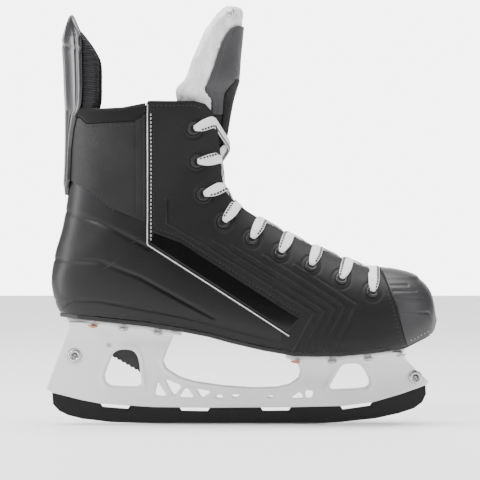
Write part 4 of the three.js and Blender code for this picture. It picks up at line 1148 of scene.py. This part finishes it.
# Sections from low to high: the front's x and z, the way it looks in degrees, the
# depth and half width of the curve round the leg, and how far it wraps in degrees.
TONGUE_LOWER = [
    (98, 116.5, 74, 16, 24, 60), (80, 123.5, 68, 19, 29, 70), (58, 130.5, 65, 22, 29, 74),
    (36, 141.5, 63, 23, 29, 76), (14, 153, 60, 24, 29, 76), (-5, 165, 50, 26, 29, 76),
    (-15, 181, 28, 29, 27, 76), (-18.5, 196, 10, 32, 25, 76), (-16, 211, 2, 35, 24, 76),
    (-11.5, 226, 0, 36, 24, 76), (-9.4, 238, 0, 36, 25, 76), (-8.4, 243.6, 0, 36, 27, 72),
]
TONGUE_FACE = [
    (-8.2, 243.2, 0, 36, 27, 52), (-6, 253.4, 0, 38, 29, 55), (-4.8, 258, 0, 46, 34, 56),
    (-3.6, 263, 0, 49, 40, 58), (-0.9, 271.4, 0, 47, 43, 58), (0.3, 287, 0, 48, 46, 51),
    (1.7, 300, 0, 48, 47, 46), (2.8, 309.5, 0, 48, 47, 37), (3.6, 313.2, 0, 48, 47, 26),
]
TONGUE_FELT = [
    (-9.4, 238, 0, 42, 29, 80), (-8.2, 243.6, 0, 44, 31, 84), (-6, 253.4, 0, 46, 34, 86),
    (-3.6, 263, 0, 49, 40, 86), (-0.9, 271.4, 0, 47, 43, 82), (0.3, 287, 0, 48, 46, 74),
    (1.7, 300, 0, 48, 47, 67), (2.8, 309.5, 0, 48, 47, 62), (3.6, 313.2, 0, 48, 47, 58),
    (4.6, 320.5, 0, 48, 47, 50), (5, 328, 0, 48, 47, 34),
]
VENT = [
    (-10.9, 227, 0, 36, 24, 30), (-8.6, 241, 0, 36, 26, 32), (-6, 254.5, 0, 42, 31, 34),
    (-3.6, 263, 0, 49, 40, 30), (-0.9, 271.4, 0, 47, 43, 20),
]
GUARD = [
    (-137.0, 240, 180, 36.6, 36.6, 34), (-138.4, 248.2, 180, 38, 38, 48),
    (-139.3, 262, 180, 38, 38, 53), (-140, 281, 180, 38, 38, 54), (-141, 300, 180, 38, 38, 55),
    (-140, 307, 180, 38, 38, 50), (-138, 314, 180, 38, 38, 39), (-135.8, 319.5, 180, 38, 38, 25),
    (-134.2, 322.4, 180, 38, 38, 11),
]
GUARD_PAD = [
    (-138.7, 246, 180, 38, 38, 66), (-139, 254.5, 180, 38, 38, 72), (-139.6, 270, 180, 38, 38, 74),
    (-140.2, 286, 180, 38, 38, 74), (-140.7, 296, 180, 38, 38, 66), (-140.3, 304, 180, 38, 38, 52),
    (-139.7, 309, 180, 38, 38, 38),
]


def wrapped(name, table, thickness, paint, inset=0.0, rim=1.0, puff=None, tall=90, wide=70):
    """A sheet bent round from side to side, with rounded edges all the way about."""
    table = spline(table, np.linspace(0, 1, tall))
    x, z, tilt, depth, half, spread = (table[:, k][:, None] for k in range(6))
    share = np.linspace(-1, 1, wide)[None, :]
    turn = np.radians(spread) * share
    look = np.stack([np.cos(np.radians(tilt)), np.sin(np.radians(tilt))], axis=-1)
    run = np.concatenate([[0], np.cumsum(np.hypot(np.diff(x[:, 0]), np.diff(z[:, 0])))])[:, None]
    side_gap = (1 - np.abs(share)) * np.radians(spread) * (depth + half) / 2
    edge = np.minimum(np.minimum(run, run[-1] - run), side_gap)
    rounding = rim * (1 - np.sqrt(np.clip(1 - (1 - np.clip(edge / rim, 0, 1)) ** 2, 0, 1)))
    swell = puff(run / run[-1], share) if puff else 0.0
    skins = []
    for inward in (inset + rounding - swell, inset + thickness - rounding):
        out = (depth - inward) * np.cos(turn)
        skins.append(np.stack([x - look[..., 0] * depth + look[..., 0] * out,
                               (half - inward) * np.sin(turn),
                               z - look[..., 1] * depth + look[..., 1] * out], axis=-1))
    points, faces = two_skins(*skins)
    return piece(name, points, faces, paint, body=None)


# Height in millimetres above which the felt pad's top edge is torn into tufts.
TORN_ABOVE = 316.0


def across_hinge(made, node):
    """Bakes a piece's placement into its mesh and hides the CAD node that it stands for."""
    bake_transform(made)
    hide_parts(node)


def torn_top(share_up, share):
    random = np.random.default_rng(7)
    lumps = random.normal(size=(share_up.shape[0], share.shape[1]))
    for _ in range(2):
        lumps = (lumps + np.roll(lumps, 1, 0) + np.roll(lumps, 1, 1) + np.roll(lumps, -1, 0)) / 4
    return 0.7 * np.sin(math.pi * share_up) * (1 - share**4) + lumps * 0.7


def tongue_pieces(paints):
    lower = wrapped("tongue_lower_padding", TONGUE_LOWER, 5.5, paints["padding"], rim=2.2)
    across_hinge(lower, "tongue_lower")
    felt = wrapped("tongue_felt_pad", TONGUE_FELT, 9.0, paints["felt"], inset=2.9, rim=3.4,
                   puff=torn_top, tall=150, wide=150)
    rough_edge(felt, TORN_ABOVE)
    across_hinge(felt, "tongue_felt")
    face = wrapped("tongue_outer_face", TONGUE_FACE, 2.2, paints["face"], puff=face_creases)
    across_hinge(face, "tongue_face")
    vent = wrapped("tongue_vent_mesh", VENT, 2.0, paints["mesh"], inset=-1.2, rim=0.9, tall=60)
    across_hinge(vent, "tongue_vent")


def rough_edge(felt, start):
    """Torn wool along the top: tufts rise and fall along the edge."""
    random = np.random.default_rng(11)
    waves = [(0.9, 0.4), (2.1, 1.7), (4.3, 0.2)]
    for corner in felt.data.vertices:
        height = corner.co.z / MM - start
        if height > 0:
            place = (corner.co.y + 0.4 * corner.co.x) / MM
            tuft = sum(math.sin(place * pace + phase) for pace, phase in waves) / 3
            fray = random.normal(size=3) * 0.14
            corner.co.z += (min(height / 6, 1) * (tuft * 1.7 - 0.6) + fray[2]) * MM
            corner.co.x += fray[0] * MM
            corner.co.y += fray[1] * MM


def face_creases(share_up, share):
    around = np.abs(share)
    step = 0.5 * bell(share_up, 0.24, 0.03)
    frame = 0.4 * bell(around, 0.86, 0.04)
    return 0.6 * np.sin(math.pi * share_up) ** 0.5 * np.cos(around * 1.4) - step - frame


def guard_relief(share_up, share):
    around = np.abs(share)
    spine = 0.35 * bell(around, 0.42, 0.05)
    groove = -0.5 * bell(around, 0.86, 0.035)
    cross = -0.6 * bell(share_up + 0.08 * around, 0.72, 0.02)
    return (spine + groove + cross) * np.clip(share_up * 6, 0, 1)


def pad_ribs(share_up, share):
    return 0.35 * np.sin(share_up * math.pi * 28) * np.sin(math.pi * share_up) ** 0.4


def guard_tail(paint):
    """The guard's tail: a flat tongue of plastic down the back of the heel."""
    edge = [(-124.6, 249), (-128.9, 231), (-130.4, 218), (-131.5, 191.6), (-134, 186),
            (-135.4, 180.5)]
    rows, half = 100, 24
    front = boot.line(edge, rows)
    share = np.linspace(0, 1, half)[None, :]
    t = np.repeat(front[:, :1], half, axis=1)
    sheet = np.stack([t, front[:, 1:] * share], axis=-1)
    tip = np.clip((np.arange(rows) / rows - 0.84) / 0.16, 0, 1)[:, None]
    lift = 4.6 - 2.2 * np.clip((share - 0.82) / 0.18, 0, 1) ** 2 - 0.5 * bell(share, 0.7, 0.06)
    lift = lift - tip * 2.4
    under = 2.3 - tip * 2.2
    skins = []
    for height in (lift, under):
        lateral, medial = (boot.at(sheet, hand) + boot.normal(sheet, hand) * height[..., None]
                           for hand in HANDS.values())
        skins.append(np.concatenate([lateral[:, ::-1], medial[:, 1:]], axis=1))
    points, faces = two_skins(*skins)
    return piece("tendon_guard_tail", points, faces, paint, body=None)


def guard_pieces(paints):
    across_hinge(guard_tail(paints["guard"]), "guard_tail")
    shell = wrapped("tendon_guard_shell", GUARD, 2.6, paints["guard"], rim=1.2, puff=guard_relief,
                    tall=120, wide=110)
    across_hinge(shell, "guard_shell")
    pad = wrapped("tendon_guard_pad", GUARD_PAD, 7.0, paints["cloth"], inset=3.2, rim=3.0,
                  puff=pad_ribs, tall=130, wide=80)
    across_hinge(pad, "guard_pad")


# ---------------------------------------------------------------- holder, runner and hardware

REAR_WINDOW = [(-100.5, 55.6), (-95, 58.9), (-84, 58.6), (-79.9, 52), (-77.2, 29.2), (-104, 30),
               (-107.6, 37), (-100.5, 55.6)]
FRONT_WINDOW = [(80.5, 47.6), (95, 47.9), (102.8, 34), (100, 28.6), (69, 27), (80.5, 47.6)]
BRIDGE_TOP = [(46, 46.5), (47.4, 41.5), (45.9, 36.4), (38.8, 31.4), (28.9, 29.2), (8, 28.8),
              (-14.1, 30.5), (-36.3, 33.8), (-47.3, 37.1), (-57.5, 43.6), (-60.6, 50), (-51.3, 72.6)]


def blade_holder(paint):
    """The moulded holder with its edges rounded and raised rims round the windows."""
    rough = frame["nodes"]["holder"]
    mesh = rough.data.copy()
    mesh.transform(rough.matrix_world)
    made = bpy.data.objects.new("blade_holder", mesh)
    bpy.context.scene.collection.objects.link(made)
    remesh = made.modifiers.new("even_skin", "REMESH")
    remesh.mode = "VOXEL"
    remesh.voxel_size = 0.75 * MM
    smooth = made.modifiers.new("soft_edges", "SMOOTH")
    smooth.factor, smooth.iterations = 0.5, 3
    bpy.context.view_layer.update()
    ready = made.evaluated_get(bpy.context.evaluated_depsgraph_get())
    skin = bpy.data.meshes.new_from_object(ready)
    made.modifiers.clear()
    made.data = skin
    count = len(skin.vertices)
    at, normal = np.empty(count * 3), np.empty(count * 3)
    skin.vertices.foreach_get("co", at)
    skin.vertices.foreach_get("normal", normal)
    at, normal = at.reshape(-1, 3), normal.reshape(-1, 3)
    side = at[:, [0, 2]] / MM
    sideways = np.clip(np.abs(normal[:, 1]) * 2 - 1, 0, 1) * np.sign(normal[:, 1])
    outside = np.abs(at[:, 1]) / MM > 4
    rims = sum(1.5 * bell(away(side, line), 1.8, 2.0) for line in (REAR_WINDOW, FRONT_WINDOW))
    rims = rims + 1.2 * bell(away(side, BRIDGE_TOP), 1.4, 1.6)
    groove = away(side, [(x, z - 4.4) for x, z in BRIDGE_TOP[2:10]])
    rims = rims - 0.5 * bell(groove, 0, 0.8)
    at[:, 1] += sideways * rims * outside * MM
    skin.vertices.foreach_set("co", at.reshape(-1))
    skin.materials.clear()
    skin.materials.append(paint)
    skin.shade_smooth()
    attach(made, ROOT)
    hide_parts("holder")


BOLTS = {"rear": (-130.2, 54), "front": (138.3, 36.9)}
BOLT_PROFILE = [(0, 6.2), (2.2, 6.4), (2.3, 9.9), (2.7, 10.6), (3.6, 10.9), (4.6, 10.7),
                (5.3, 10.0), (5.4, 8.5), (3.0, 8.3), (2.0, 8.2), (2.0, -9.6), (0, -9.8)]


def holder_bolts(paint):
    for name, (x, z) in BOLTS.items():
        made = spun(f"holder_bolt_{name}", BOLT_PROFILE[::-1], np.array([x, 0, z]), (0, -1, 0),
                    paint, 48)
        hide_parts(f"{name}_bolt")


RIVETS = [(-115, 21.5), (-91, 23.5), (-64, 23.5), (43.5, 32.5), (72, 35), (99.6, 34),
          (125.5, 27.3)]
RIVET_HEAD = [(0, -6.0), (1.6, -5.9), (2.9, -5.5), (3.8, -4.9), (4.1, -4.4), (4.0, -4.1),
              (0, -4.0)]
SHELL_WALL = 2.5
COPPER_RIVETS = (1, 4)


def flange_rivets(steel, copper):
    """Domed rivet heads under the holder's flanges, square to the sole."""
    for name, hand in HANDS.items():
        for number, (x, y) in enumerate(RIVETS, 1):
            slope = (sole_height(x + 5) - sole_height(x - 5)) / 10
            seat = np.array([x, hand * (y - SHELL_WALL), sole_height(x)])
            paint = copper if number in COPPER_RIVETS else steel
            made = spun(f"flange_rivet_{name}_{number}", RIVET_HEAD, seat, (-slope, 0, 1), paint)
            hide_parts(f"rivet_{name}_{number}")


def dress_rest(finishes):
    """The plain CAD pieces that stay take their finishes through their slots."""
    for name, paint in finishes.items():
        node = frame["nodes"][name]
        node.data.materials.clear()
        node.data.materials.append(paint)


def assemble():
    shell = composite_shell()
    facing_hide = leather("facing_leather", (0.0025, 0.0025, 0.0025), (0.005, 0.005, 0.005),
                          0.5, 0.9, 0.1)
    ankle_hide = leather("ankle_leather", (0.006, 0.006, 0.0065), (0.012, 0.012, 0.0125),
                         0.42, 1.3, 0.2)
    tongue_hide = leather("tongue_leather", (0.032, 0.032, 0.034), (0.055, 0.055, 0.058),
                          0.5, 1.2, 0.2)
    lining = knitted_padding("knitted_padding", (0.008, 0.008, 0.009), (0.022, 0.022, 0.024))
    panel, toe, guard = gloss_panel(), toe_plastic(), guard_plastic()
    black_metal = metal("black_metal", (0.05, 0.05, 0.052), 0.28)
    steel = metal("steel", (0.62, 0.62, 0.63), 0.22)
    copper = metal("copper", (0.62, 0.27, 0.13), 0.25)
    moulding = black_moulding()
    quarter_shell(shell)
    boot_lining(lining)
    sheet = facing_sheet()
    for name, hand in HANDS.items():
        made = upper_layer(f"facing_hide_{name}", sheet, hand, FACING_OUT, facing_hide,
                           facing_relief)
        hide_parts(f"facing_{name}")
        side_panel(name, hand, panel)
        piping(name, hand, silver_piping())
    ankle_pads(ankle_hide)
    collar_roll(knitted_padding("collar_cloth", (0.003, 0.003, 0.0035), (0.008, 0.008, 0.0085)))
    toe_cap(toe)
    dark, bright = (0.009, 0.009, 0.01), (0.62, 0.62, 0.62)
    seam_threads(thread("dark_thread", dark), thread("bright_thread", bright))
    fit_eyelets(black_metal)
    lace_up(lace_weave(), thread("black_tracer", (0.01, 0.01, 0.01)))
    tongue_pieces({"padding": lining, "felt": wool_felt(), "face": tongue_hide, "mesh": vent_mesh()})
    guard_pieces({"guard": guard, "cloth": ribbed_cloth()})
    blade_holder(holder_plastic())
    holder_bolts(steel)
    flange_rivets(steel, copper)
    rest = {"runner": black_steel(), "trigger": moulding, "trigger_pin": steel, "outsole": moulding,
            "insole_board": shell, "footbed": lining}
    for name in frame["nodes"]:
        if name.endswith("_nut"):
            rest[name] = steel
    dress_rest(rest)


set_camera()
set_stage()
assemble()
